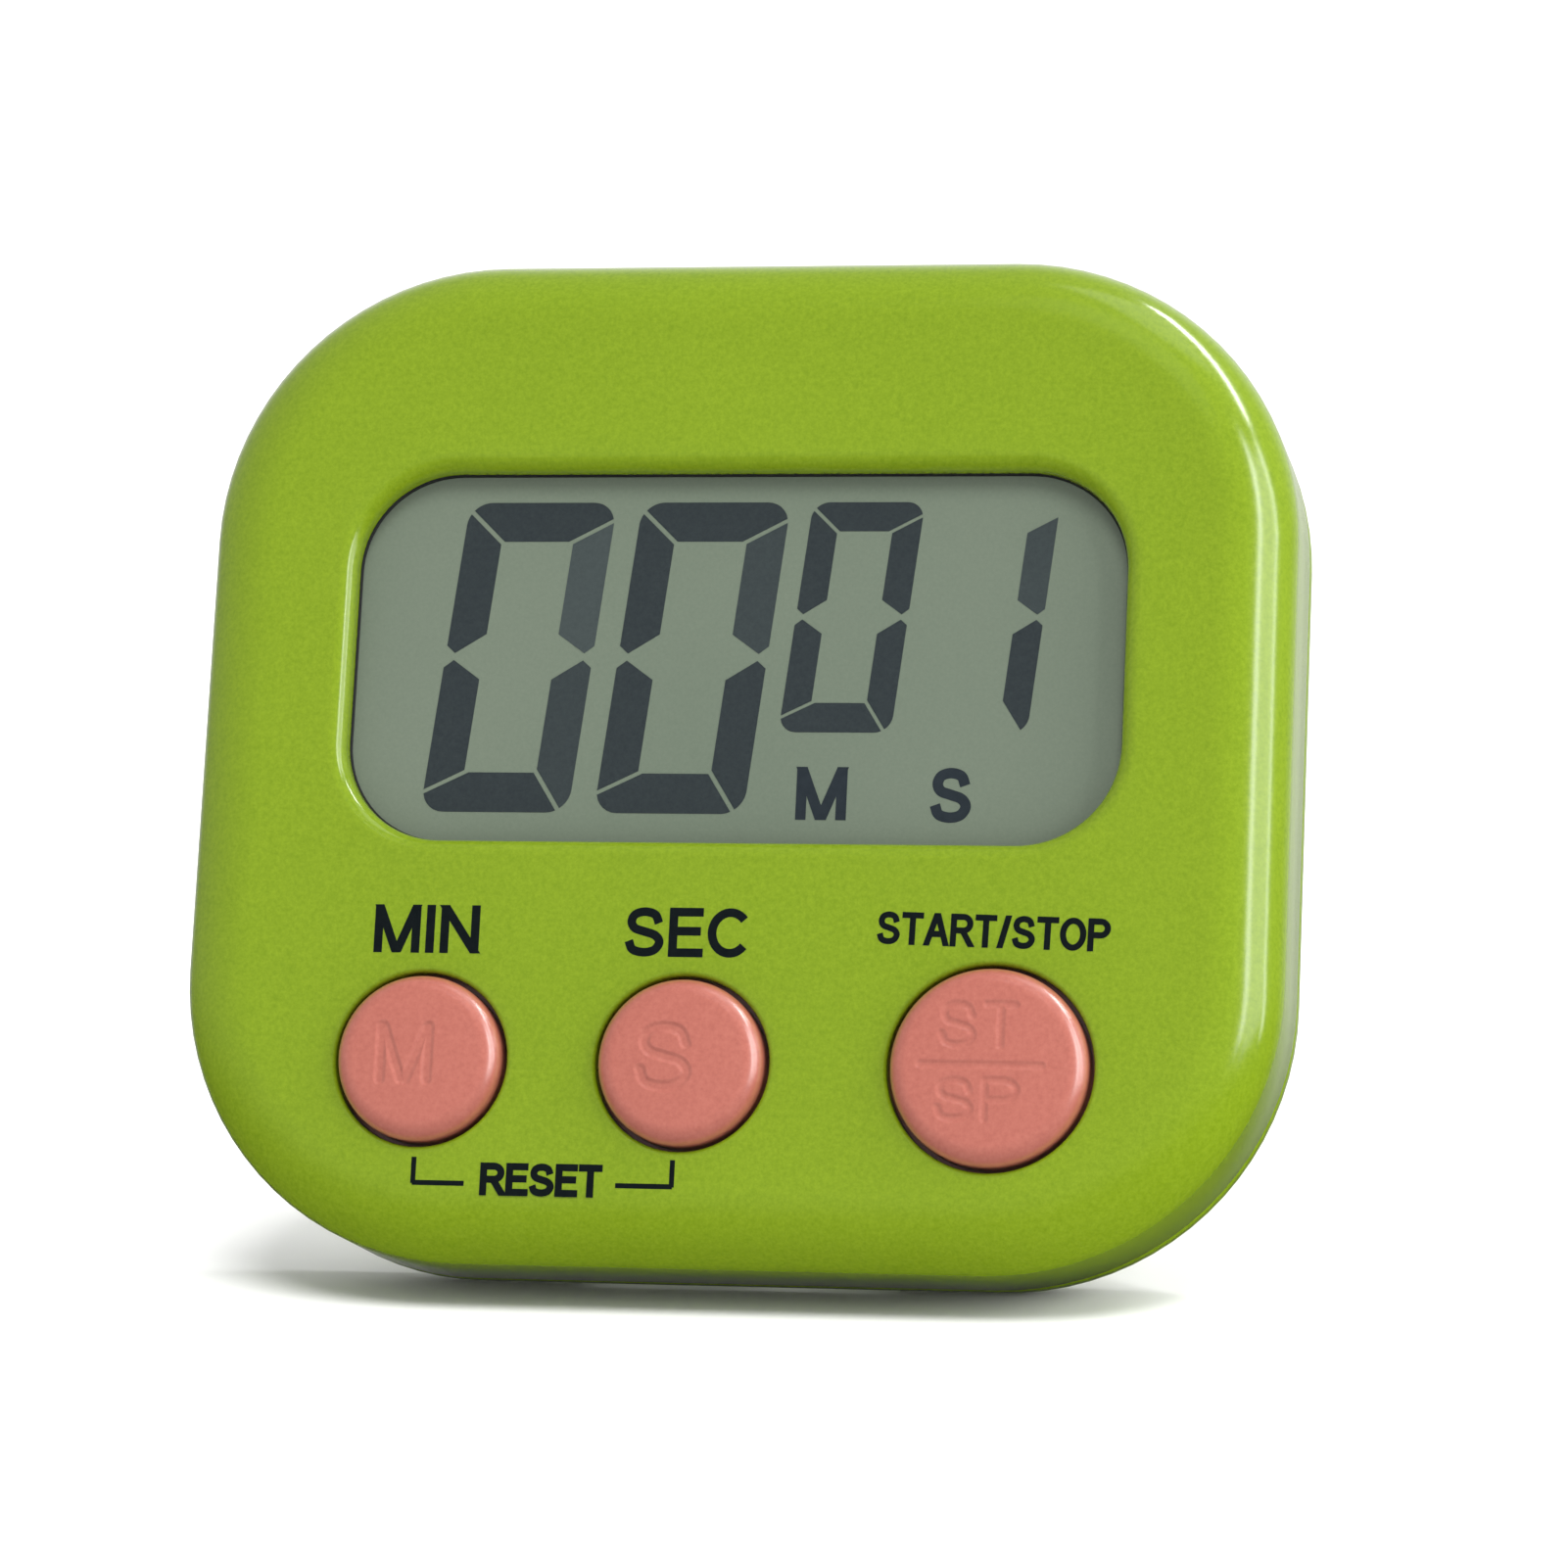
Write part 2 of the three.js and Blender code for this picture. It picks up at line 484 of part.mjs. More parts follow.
function caseScrew(x, y) {
  const headBack = BACK + 0.2;
  const headFront = headBack + CASE_SCREW.headThick;
  const cross = box(x - 1.1, x + 1.1, y - 0.25, y + 0.25, headBack - 1, headBack + 0.6)
    .add(box(x - 0.25, x + 0.25, y - 1.1, y + 1.1, headBack - 1, headBack + 0.6));
  return post(x, y, CASE_SCREW.head, headBack, headFront)
    .add(post(x, y, CASE_SCREW.shank, headFront - 0.1, headFront + CASE_SCREW.length))
    .subtract(cross);
}

// ---- kickstand ---------------------------------------------------------------------------------------

// A flat leg with a round foot, laid down along -y from its pivot, with two stub pins on the pivot line.
function kickstand() {
  const half = STAND.thick / 2;
  const side = new THREE.Shape();
  side.absarc(0, 0, half, -Math.PI / 2, Math.PI / 2);
  side.absarc(-LEG, 0, half, Math.PI / 2, Math.PI * 1.5);
  side.closePath();
  const settings = { depth: STAND.width, bevelEnabled: false, curveSegments: 8 };
  const leg = new THREE.ExtrudeGeometry(side, settings)
    .rotateX(Math.PI / 2).rotateZ(Math.PI / 2)
    .translate(-STAND.width / 2, 0, 0);
  return solid(leg).add(crossPin(STAND.pin, STAND.width + 2 * STAND.pinReach, 0, 0));
}

// ---- finishes ----------------------------------------------------------------------------------------

function finish(color, roughness, metalness = 0) {
  return { color, roughness, metalness };
}

const paint = {
  green: finish(0x8eaa2f, 0.28), button: finish(0xd48778, 0.35), lcdFilm: finish(0x7d8573, 0.3),
  glass: finish(0xb8c8b8, 0.1), reflector: finish(0x9aa092, 0.4), rubber: finish(0x5a5a5c, 0.8),
  board: finish(0x2e6b3a, 0.5), epoxy: finish(0x18181a, 0.45), tin: finish(0xc4c6c8, 0.3, 1),
  ceramic: finish(0xd8cfae, 0.5), steel: finish(0xa9acb0, 0.35, 1), silicone: finish(0xd8d8d2, 0.7),
  brass: finish(0xc9a24a, 0.35, 1), wireRed: finish(0xb02a22, 0.5), wireBlack: finish(0x1c1c1e, 0.5),
  ferrite: finish(0x3a3a3d, 0.6),
};

// ---- the timer ---------------------------------------------------------------------------------------

const timer = new THREE.Group();
timer.rotation.x = Math.PI / 2 - LEAN;

function addNode(name, body, look, parent = timer) {
  const mesh = new THREE.Mesh(geometryOf(body), new THREE.MeshStandardMaterial(look));
  mesh.name = name;
  parent.add(mesh);
}

function addKickstand() {
  const hinge = new THREE.Group();
  hinge.position.set(0, STAND.pivotY, PIVOT_Z);
  hinge.rotation.x = OPEN;
  timer.add(hinge);
  addNode('kickstand', kickstand(), paint.green, hinge);
}

function addBatteryDoor() {
  const turn = new THREE.Group();
  turn.position.set(CELL_X, CELL.y, 0);
  turn.rotation.z = DOOR_LOCKED;
  timer.add(turn);
  addNode('battery_door', batteryDoor(), paint.green, turn);
}

addNode('front_case', frontCase(), paint.green);
addNode('back_cover', backCover(), paint.green);
displayNodes();
boardNodes();
buttonNodes();
buzzerNodes();
contactNodes();
addNode('button_cell', buttonCell(), paint.steel);
addNode('magnet', post(0, MAGNET.y, MAGNET.radius, BACK, BACK + MAGNET.thick, ROUND), paint.ferrite);
caseScrewPlaces().forEach(({ label, x, y }) => {
  addNode(`case_screw_${label}`, caseScrew(x, y), paint.steel);
});
addBatteryDoor();
addKickstand();

// The origin is under the middle of the whole timer, on the table.
const stand = new THREE.Group();
stand.add(timer);
stand.updateMatrixWorld(true);
const bounds = new THREE.Box3().setFromObject(stand, true);
const middle = bounds.getCenter(new THREE.Vector3());
timer.position.set(-middle.x, -middle.y, -bounds.min.z);

export default stand;
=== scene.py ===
"""Digital kitchen timer, standing on its kickstand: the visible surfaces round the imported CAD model.

Shapes are worked out in millimetres in the case's own leaning frame: x to the right, y up the display's
face and z out of it, with z = 0 on the face. placed() carries them to the row frame, in metres.
"""
import json

import bmesh
import bpy
import numpy as np
from mathutils import Matrix, Vector
from mathutils.geometry import delaunay_2d_cdt


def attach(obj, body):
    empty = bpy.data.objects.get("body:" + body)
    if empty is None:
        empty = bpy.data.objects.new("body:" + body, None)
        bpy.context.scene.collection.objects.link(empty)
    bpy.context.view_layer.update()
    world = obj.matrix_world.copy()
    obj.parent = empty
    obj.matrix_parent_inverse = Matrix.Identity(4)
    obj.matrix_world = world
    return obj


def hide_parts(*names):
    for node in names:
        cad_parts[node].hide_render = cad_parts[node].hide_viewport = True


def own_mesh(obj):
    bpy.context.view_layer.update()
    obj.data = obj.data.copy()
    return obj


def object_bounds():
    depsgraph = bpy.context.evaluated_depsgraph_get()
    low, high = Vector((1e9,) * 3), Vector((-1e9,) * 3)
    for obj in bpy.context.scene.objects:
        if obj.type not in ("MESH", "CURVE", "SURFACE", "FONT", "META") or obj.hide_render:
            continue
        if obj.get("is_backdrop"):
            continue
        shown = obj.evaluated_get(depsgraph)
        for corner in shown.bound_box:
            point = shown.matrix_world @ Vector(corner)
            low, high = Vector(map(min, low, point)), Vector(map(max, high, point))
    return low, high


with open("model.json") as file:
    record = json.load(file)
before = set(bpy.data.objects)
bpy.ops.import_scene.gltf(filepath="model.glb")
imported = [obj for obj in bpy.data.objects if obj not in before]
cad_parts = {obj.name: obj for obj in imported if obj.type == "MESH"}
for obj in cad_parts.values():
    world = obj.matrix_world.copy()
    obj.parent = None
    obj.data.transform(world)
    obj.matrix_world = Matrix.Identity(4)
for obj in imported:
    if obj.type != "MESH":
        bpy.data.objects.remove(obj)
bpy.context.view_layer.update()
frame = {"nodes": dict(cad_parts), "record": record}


# ---- Front case ----------------------------------------------------------------------------------
# One injection-moulded ABS shell, apple green, with a soft outer edge, a rolled lip round the display
# window and a small radius round each key hole. Four screws pull the back cover against its rim.

# The case leans back on its stand. Its magnet lies flush with its flat back, so the magnet's mount
# gives the lean and, with the case's depth, where the middle of the display's face is.
CASE_DEPTH = 13.0
MAGNET_Y = 9.0
MM = 0.001

magnet_mount = {mount["name"]: mount for mount in frame["record"]["mounts"]}["magnet_face"]
OUT = -np.array(magnet_mount["axis"]) / np.linalg.norm(magnet_mount["axis"])
RIGHT = np.array([1.0, 0.0, 0.0])
UP = np.cross(OUT, RIGHT)
AXES = np.stack([RIGHT, UP, OUT])
FACE_CENTRE = np.array(magnet_mount["pos_m"]) + MM * (CASE_DEPTH * OUT - MAGNET_Y * UP)


def placed(points):
    """Points of the case's own frame, in millimetres, as points of the row frame, in metres."""
    return FACE_CENTRE + MM * np.asarray(points, float) @ AXES


def extent(node):
    """The lowest and the highest corner of a CAD node in the case's own frame, in millimetres."""
    vertices = frame["nodes"][node].data.vertices
    corners = np.empty(3 * len(vertices))
    vertices.foreach_get("co", corners)
    own = (corners.reshape(-1, 3) - FACE_CENTRE) @ AXES.T / MM
    return own.min(0), own.max(0)


CASE_WIDTH, CASE_HEIGHT, CASE_CORNER = 63.0, 58.3, 16.5
WALL, FACE_THICK = 1.8, 1.5
PARTING = -9.6
WINDOW = {"width": 44.6, "height": 21.6, "radius": 5.75, "centre": (-0.1, 5.5)}
KEYS = {
    "minute": {"x": -16.74, "radius": 4.7},
    "second": {"x": -1.74, "radius": 4.7},
    "start_stop": {"x": 15.64, "radius": 5.55},
}
KEY_Y, KEY_GAP = -18.0, 0.25
STRIP = 0.05          # a narrow flat strip beside each rounding keeps the flat faces' shading flat


def arc(x, y, across, up, start, end, steps=20):
    """Points of an ellipse's arc round x, y, between two angles in degrees."""
    turn = np.radians(np.linspace(start, end, steps + 1))
    return np.stack([x + across * np.cos(turn), y + up * np.sin(turn)], 1)


def circle(radius, centre=(0, 0), count=72):
    """Points of a circle, counter-clockwise, without a repeat of the first."""
    return arc(*centre, radius, radius, 0, 360, count)[:-1]


def rounded_rectangle(width, height, radius, centre=(0, 0), sill=()):
    """Four quarter circles joined by straight sides, counter-clockwise from the right-hand side.
    sill adds points at those x on the bottom side."""
    parts = []
    for start, side, level in ((0, 1, 1), (90, -1, 1), (180, -1, -1), (270, 1, -1)):
        if start == 270:
            parts.append([(x, -height / 2) for x in sill])
        parts.append(arc(side * (width / 2 - radius), level * (height / 2 - radius),
                         radius, radius, start, start + 90))
    return np.concatenate([part for part in parts if len(part)]) + np.array(centre)


def case_outline(inset, sill=()):
    """The case's outline, moved inwards by inset."""
    width, height = CASE_WIDTH - 2 * inset, CASE_HEIGHT - 2 * inset
    return rounded_rectangle(width, height, CASE_CORNER - inset, sill=sill)


def window_outline(offset):
    """The display window's outline, moved outwards by offset."""
    width, height = WINDOW["width"] + 2 * offset, WINDOW["height"] + 2 * offset
    return rounded_rectangle(width, height, WINDOW["radius"] + offset, WINDOW["centre"])


def rounding(flat, wall, steps=12):
    """A quarter of an ellipse from a point on a flat face to a point on a wall, as (offset, z) pairs:
    the offset follows the sine and z one minus the cosine, so it leaves the flat face along it."""
    turn = np.linspace(0, np.pi / 2, steps + 1)
    (offset, z), (end_offset, end_z) = flat, wall
    out, down = np.sin(turn), 1 - np.cos(turn)
    return np.stack([offset + (end_offset - offset) * out, z + (end_z - z) * down], 1)


def inside(loop, points):
    """True where a point lies inside a closed loop: the angles it sees the edges under add to a turn."""
    arms = loop[None] - points[:, None]
    ahead = np.roll(arms, -1, 1)
    cross = arms[..., 0] * ahead[..., 1] - arms[..., 1] * ahead[..., 0]
    return np.abs(np.arctan2(cross, (arms * ahead).sum(2)).sum(1)) > np.pi


def at_level(loop, z):
    """A flat loop lifted to a level."""
    return np.column_stack([loop, np.full(len(loop), z)])


class Surface:
    """A surface gathered from patches and made into one mesh at the end. lift carries the patches' own
    coordinates to the case's frame, where the two differ."""

    def __init__(self, lift=np.asarray):
        self.points, self.faces, self.count, self.lift = [], [], 0, lift

    def add(self, points, faces):
        """Adds points of shape (n, 3) and faces that count from the first of them."""
        self.points.append(self.lift(np.asarray(points, float)))
        self.faces += (np.asarray(faces) + self.count).tolist()
        self.count += len(points)

    def grid(self, rows, closed=True):
        """Quads between the points of an array of shape (rows, columns, 3). A closed grid's last
        column joins its first."""
        rows = np.asarray(rows, float)
        height, width = rows.shape[:2]
        index = np.arange(height * width).reshape(height, width)
        if closed:
            index = np.concatenate([index, index[:, :1]], 1)
        quads = np.stack([index[:-1, :-1], index[:-1, 1:], index[1:, 1:], index[1:, :-1]], -1)
        self.add(rows.reshape(-1, 3), quads.reshape(-1, 4))

    def sweep(self, outline, profile):
        """A profile of (offset, z) pairs carried round an outline, which is a function of the offset."""
        self.grid([at_level(outline(offset), z) for offset, z in profile])

    def turn(self, centre, profile, count=72):
        """A profile of (radius, z) pairs turned about an axis along z."""
        self.sweep(lambda radius: circle(radius, centre, count), profile)

    def fill(self, outer, holes, z):
        """The flat region inside one loop and outside the others, as Delaunay triangles."""
        loops = [outer, *holes]
        starts = np.cumsum([0] + [len(loop) for loop in loops])
        rings = [np.arange(start, end) for start, end in zip(starts[:-1], starts[1:])]
        edges = np.concatenate([np.stack([ring, np.roll(ring, -1)], 1) for ring in rings])
        flat = np.concatenate(loops)
        corners, _, triangles, *_ = delaunay_2d_cdt(flat.tolist(), edges.tolist(), [], 1, 1e-7)
        corners, triangles = np.array(corners), np.array(triangles)
        middles = corners[triangles].mean(1)
        for hole in holes:
            keep = ~inside(hole, middles)
            triangles, middles = triangles[keep], middles[keep]
        self.add(at_level(corners, z), triangles)

    def slab(self, outline, bottom, top):
        """A flat piece with upright sides over a closed outline without holes."""
        self.grid([at_level(outline, bottom), at_level(outline, top)])
        self.fill(outline, [], bottom)
        self.fill(outline, [], top)

    def mesh(self, name, material, body, crease=35, merge=2e-6, sliver=1e-7):
        """The finished piece: points closer than merge made one, faces turned outwards, smooth except at
        edges sharper than the crease in degrees, with its material, riding on its body."""
        data = bpy.data.meshes.new(name)
        data.from_pydata(placed(np.concatenate(self.points)).tolist(), [], self.faces)
        work = bmesh.new()
        work.from_mesh(data)
        bmesh.ops.remove_doubles(work, verts=work.verts, dist=merge)
        bmesh.ops.dissolve_degenerate(work, edges=work.edges, dist=sliver)
        bmesh.ops.recalc_face_normals(work, faces=work.faces)
        work.to_mesh(data)
        work.free()
        data.shade_smooth()
        data.set_sharp_from_angle(angle=np.radians(crease))
        data.materials.append(material)
        piece = bpy.data.objects.new(name, data)
        bpy.context.collection.objects.link(piece)
        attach(piece, body)
        return piece


class Field:
    """A shader value that varies over a surface. Arithmetic on it adds Math nodes."""

    def __init__(self, socket):
        self.socket = socket

    def math(self, operation, *values):
        """Adds a Math node on these values."""
        sockets = dict(enumerate(values))
        made = add_node(self.socket.id_data, "ShaderNodeMath", {"operation": operation}, sockets)
        return Field(made.outputs[0])

    def __add__(self, other):
        return self.math("ADD", self, other)

    def __radd__(self, other):
        return self.math("ADD", other, self)

    def __sub__(self, other):
        return self.math("SUBTRACT", self, other)

    def __rsub__(self, other):
        return self.math("SUBTRACT", other, self)

    def __mul__(self, other):
        return self.math("MULTIPLY", self, other)

    def __rmul__(self, other):
        return self.math("MULTIPLY", other, self)


def add_node(tree, kind, settings, sockets):
    """Adds a node: first its settings, then its sockets' values or links."""
    made = tree.nodes.new(kind)
    for key, value in settings.items():
        setattr(made, key, value)
    for key, value in sockets.items():
        if isinstance(value, Field):
            tree.links.new(value.socket, made.inputs[key])
        else:
            made.inputs[key].default_value = value
    return made


def srgb(red, green, blue):
    """A colour given in 0 to 255 as the eye sees it, in the linear values that shaders take."""
    level = np.array([red, green, blue]) / 255
    linear = np.where(level > 0.04045, ((level + 0.055) / 1.055) ** 2.4, level / 12.92)
    return tuple(linear.tolist())


class Finish:
    """A node material. constants are the shader's own sockets, set directly."""

    def __init__(self, name, constants):
        self.material = bpy.data.materials.new(name)
        self.material.use_nodes = True
        self.tree = self.material.node_tree
        self.shader = self.tree.nodes["Principled BSDF"]
        for key, value in constants.items():
            self.shader.inputs[key].default_value = value
        self.place = self.node("ShaderNodeTexCoord", {}, {}, "Object")

    def node(self, kind, settings, sockets, output=0):
        """Adds any node and returns one of its outputs."""
        return Field(add_node(self.tree, kind, settings, sockets).outputs[output])

    def noise(self, scale, detail=2.0, roughness=0.5):
        """Smooth noise from about 0 to 1, with that many waves per metre."""
        sockets = {"Vector": self.place, "Scale": scale, "Detail": detail, "Roughness": roughness}
        return self.node("ShaderNodeTexNoise", {}, sockets)

    def mix(self, factor, first, second):
        """A blend of two colours, each an RGB triple or a field."""
        sockets = {"Factor": factor}
        for key, colour in ((6, first), (7, second)):
            sockets[key] = colour if isinstance(colour, Field) else (*colour, 1)
        return self.node("ShaderNodeMix", {"data_type": "RGBA"}, sockets, 2)

    def drive(self, key, value):
        """Feeds one of the shader's sockets."""
        self.tree.links.new(value.socket, self.shader.inputs[key])

    def bump(self, height, distance):
        """Raises the surface by height times a distance in metres."""
        self.drive("Normal", self.node("ShaderNodeBump", {}, {"Height": height, "Distance": distance}))


def moulded(name, pale, deep, rough, grain=0.000004, **constants):
    """Moulded plastic: a slow drift between two tints, a fine speckle of pigment, a roughness that
    varies a little and the slight orange peel that a mould's polish leaves."""
    plastic = Finish(name, {"IOR": 1.5, **constants})
    drift = plastic.noise(70, 1.0)
    speckle = plastic.noise(3600, 2.0, 0.7)
    plastic.drive("Base Color", plastic.mix(drift * 0.4 + speckle * 2.2 - 0.8, deep, pale))
    plastic.drive("Roughness", rough + 0.06 * speckle + 0.04 * drift)
    plastic.bump(speckle * 0.5 + plastic.noise(900, 1.0), grain)
    return plastic.material


green_plastic = moulded("apple_green_plastic", srgb(108, 130, 18), srgb(94, 117, 9), 0.12)
EDGE_INSET, EDGE_RISE = 4.2, 3.6
LIP, HOLE_EDGE, INNER_BEND = 0.95, 0.28, 2.6
RIM_EDGE = 0.2        # the small radius on both halves where they meet


def front_case_surface():
    """The closed shell: the outer wall and the inner wall swept round the outline, the lip and the key
    holes swept round theirs, and the two flat faces filled between them."""
    shell = Surface()
    under = -FACE_THICK
    shell.sweep(case_outline, np.concatenate([
        [(EDGE_INSET + STRIP, 0)],
        rounding((EDGE_INSET, 0), (0, -EDGE_RISE), 20),
        rounding((RIM_EDGE, PARTING), (0, PARTING + RIM_EDGE), 4)[::-1],
        [(WALL, PARTING)],
        rounding((WALL + INNER_BEND, under), (WALL, under - INNER_BEND), 6)[::-1],
        [(WALL + INNER_BEND + STRIP, under)],
    ]))
    shell.sweep(window_outline, np.concatenate([
        [(LIP + STRIP, 0)], rounding((LIP, 0), (0, -LIP), 14), [(0, under), (STRIP, under)]]))
    above, below = [window_outline(LIP + STRIP)], [window_outline(STRIP)]
    for key in KEYS.values():
        centre, radius = (key["x"], KEY_Y), key["radius"] + KEY_GAP
        shell.turn(centre, np.concatenate([
            [(radius + HOLE_EDGE + STRIP, 0)],
            rounding((radius + HOLE_EDGE, 0), (radius, -HOLE_EDGE), 6),
            [(radius, under), (radius + STRIP, under)]]))
        above.append(circle(radius + HOLE_EDGE + STRIP, centre))
        below.append(circle(radius + STRIP, centre))
    shell.fill(case_outline(EDGE_INSET + STRIP), above, 0)
    shell.fill(case_outline(WALL + INNER_BEND + STRIP), below, under)
    return shell


front_case = front_case_surface().mesh("front_case_shell", green_plastic, "case")
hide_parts("front_case")


# ---- Display -------------------------------------------------------------------------------------
# A reflective liquid crystal display: two panes of glass between two polarising films, with a matt
# reflector behind. The front film shows in the window and the dark segments stand just on it.

FILM_FRONT = extent("lcd_front_polarizer")[1][2]
SEGMENT_THICK = 0.02
SLANT = np.tan(np.radians(6))

film = Finish("polarising_film", {"IOR": 1.45})
film_grain = film.noise(5200, 2.0, 0.7)
film.drive("Base Color", film.mix(film.noise(45, 1.0) * 0.6 + film_grain * 0.7 - 0.15,
                                  srgb(81, 92, 79), srgb(98, 107, 93)))
film.drive("Roughness", 0.3 + film_grain * 0.1)
film.bump(film_grain, 0.000002)

crystal = Finish("dark_liquid_crystal", {"IOR": 1.4})
crystal_tone = crystal.node("ShaderNodeAttribute", {"attribute_name": "tone"}, {}, "Fac")
crystal_grain = crystal.noise(4200, 2.0, 0.7)
crystal.drive("Base Color", crystal.mix(crystal_tone + crystal_grain * 0.3 - 0.05,
                                        srgb(26, 33, 37), srgb(68, 77, 75)))
crystal.drive("Roughness", 0.38 + crystal_grain * 0.1)


def dress(node, material):
    """Gives a CAD node that stays in view its finish."""
    mesh = frame["nodes"][node].data
    mesh.materials.clear()
    mesh.materials.append(material)


# How far round a digit's outer corner the slanted gap between two segments starts, in degrees.
MITRES = {("left", "upper"): 35, ("right", "upper"): 11, ("left", "lower"): 7, ("right", "lower"): 59}
# In stroke thicknesses: the radius of a digit's outer corners, where its inner corners are, and the
# points of an upright segment's end at the waist, from the digit's outer side and its middle.
CORNER_BOW, INNER_CORNER = 0.58, np.array([0.96, 1.0])
WAIST = np.array([(0.96, -0.58), (0.23, -0.09), (0, -0.28)])


def segment_shapes(width, height, thick, gap):
    """The outlines of a seven-segment digit's segments, upright, with its lower left corner at 0, 0. The
    digit's outer corners are arcs. A narrow gap runs from a point of each arc to the inner corner, and the
    upright segments end in blunt points at the waist."""
    bow, inner, middle = CORNER_BOW * thick, INNER_CORNER * thick, height / 2
    shapes, across = {}, {}
    for (side, level), turn in MITRES.items():
        outer = arc(bow, bow, bow, bow, 180 + turn, 180 + turn, 1)[0]
        slope = (inner - outer) / np.linalg.norm(inner - outer)
        half = np.degrees(gap / 2 / bow)
        before = arc(bow, bow, bow, bow, 180, 180 + turn - half, 6)
        after = arc(bow, bow, bow, bow, 180 + turn + half, 270, 6)
        upright = np.concatenate([WAIST * thick + (0, middle), before, [inner + (0, gap / 2 / slope[0])]])
        flat = np.concatenate([[inner + (gap / 2 / slope[1], 0)], after])
        for shape in (upright, flat):
            if side == "right":
                shape[:, 0] = width - shape[:, 0]
            if level == "upper":
                shape[:, 1] = height - shape[:, 1]
        shapes[f"{side}_{level}"], across[side, level] = upright, flat
    shapes["top"] = np.concatenate([across["left", "upper"], across["right", "upper"][::-1]])
    shapes["bottom"] = np.concatenate([across["left", "lower"], across["right", "lower"][::-1]])
    return shapes


SEGMENTS_LIT = {
    "0": ["top", "left_upper", "right_upper", "left_lower", "right_lower", "bottom"],
    "1": ["right_upper", "right_lower"],
}
BIG_DIGIT = {"width": 8.65, "height": 18.15, "thick": 2.3, "gap": 0.25}
SMALL_DIGIT = {"width": 6.45, "height": 13.4, "thick": 1.7, "gap": 0.2}
DIGITS_TOP = 14.7
READING = [("0", -18.1, BIG_DIGIT), ("0", -7.95, BIG_DIGIT),
           ("0", 2.5, SMALL_DIGIT), ("1", 10.25, SMALL_DIGIT)]
# How much paler than the rest a segment that is driven weakly is, by its place and name.
FAINT = {(0, "right_upper"): 0.35, (0, "right_lower"): 0.1, (1, "right_upper"): 0.15, (3, "right_upper"): 0.2}

for place, (digit, left, size) in enumerate(READING):
    shapes = segment_shapes(**size)
    for name in SEGMENTS_LIT[digit]:
        outline = shapes[name] @ np.array([[1, 0], [SLANT, 1]]) + (left, DIGITS_TOP - size["height"])
        segment = Surface()
        segment.slab(outline, FILM_FRONT, FILM_FRONT + SEGMENT_THICK)
        piece = segment.mesh(f"lcd_digit_{place + 1}_{name}", crystal.material, "case")
        tone = piece.data.attributes.new("tone", "FLOAT", "FACE")
        paleness = FAINT.get((place, name), 0)
        tone.data.foreach_set("value", np.full(len(piece.data.polygons), paleness, np.float32))

dress("lcd_front_polarizer", film.material)


# ---- Printed legends -----------------------------------------------------------------------------
# Black ink, pad-printed on the face: MIN and SEC over the two time keys, START/STOP over the third,
# and RESET between two bracket lines. The display's M and S are printed on its film in dark grey.

INK_THICK, INK_STEP = 0.015, 0.0008


def smooth(points, steps=6):
    """A Catmull-Rom curve through points: each span is a cubic of its share t, worked out from the two
    points at its ends, b and c, and the ones before and after them, a and d."""
    points = np.asarray(points, float)
    padded = np.concatenate([[2 * points[0] - points[1]], points, [2 * points[-1] - points[-2]]])
    a, b, c, d = (padded[first:first + len(points) - 1, None] for first in range(4))
    t = np.linspace(0, 1, steps, endpoint=False)[:, None]
    square, cube = 2 * a - 5 * b + 4 * c - d, 3 * b - a - 3 * c + d
    curve = 0.5 * (2 * b + (c - a) * t + square * t ** 2 + cube * t ** 3)
    return np.concatenate([curve.reshape(-1, 2), points[-1:]])


BOWL = np.concatenate([[(0, 1)], arc(0.42, 0.745, 0.3, 0.255, 90, -90), [(0, 0.49)]])
S_CURVE = smooth([(0.72, 0.72), (0.62, 0.93), (0.37, 1.0), (0.13, 0.93), (0.05, 0.75), (0.14, 0.59),
                  (0.38, 0.51), (0.64, 0.42), (0.75, 0.25), (0.63, 0.06), (0.37, 0.0), (0.1, 0.07),
                  (0.0, 0.28)])
# Each letter is its width and its strokes, for a cap height of 1 measured between stroke middles.
LETTERS = {
    "M": (0.86, [[(0, 0), (0, 1)], [(0.03, 1), (0.39, 0)], [(0.47, 0), (0.83, 1)], [(0.86, 0), (0.86, 1)]]),
    "I": (0.0, [[(0, 0), (0, 1)]]),
    "N": (0.7, [[(0, 0), (0, 1)], [(0.04, 1), (0.66, 0)], [(0.7, 0), (0.7, 1)]]),
    "S": (0.75, [S_CURVE]),
    "E": (0.62, [[(0, 0), (0, 1)], [(0.01, 1), (0.62, 1)], [(0, 0.53), (0.57, 0.53)], [(0, 0), (0.64, 0)]]),
    "C": (0.84, [arc(0.44, 0.5, 0.44, 0.5, 40, 320, 30)]),
    "T": (0.68, [[(0, 1), (0.68, 1)], [(0.34, 0), (0.34, 1)]]),
    "A": (0.8, [[(0, 0), (0.36, 1)], [(0.44, 1), (0.8, 0)], [(0.15, 0.33), (0.65, 0.33)]]),
    "R": (0.74, [[(0, 0), (0, 1)], BOWL, [(0.4, 0.49), (0.74, 0)]]),
    "O": (0.88, [arc(0.44, 0.5, 0.44, 0.5, 0, 360, 40)]),
    "P": (0.72, [[(0, 0), (0, 1)], BOWL]),
    "/": (0.28, [[(0, 0), (0.28, 1)]]),
}


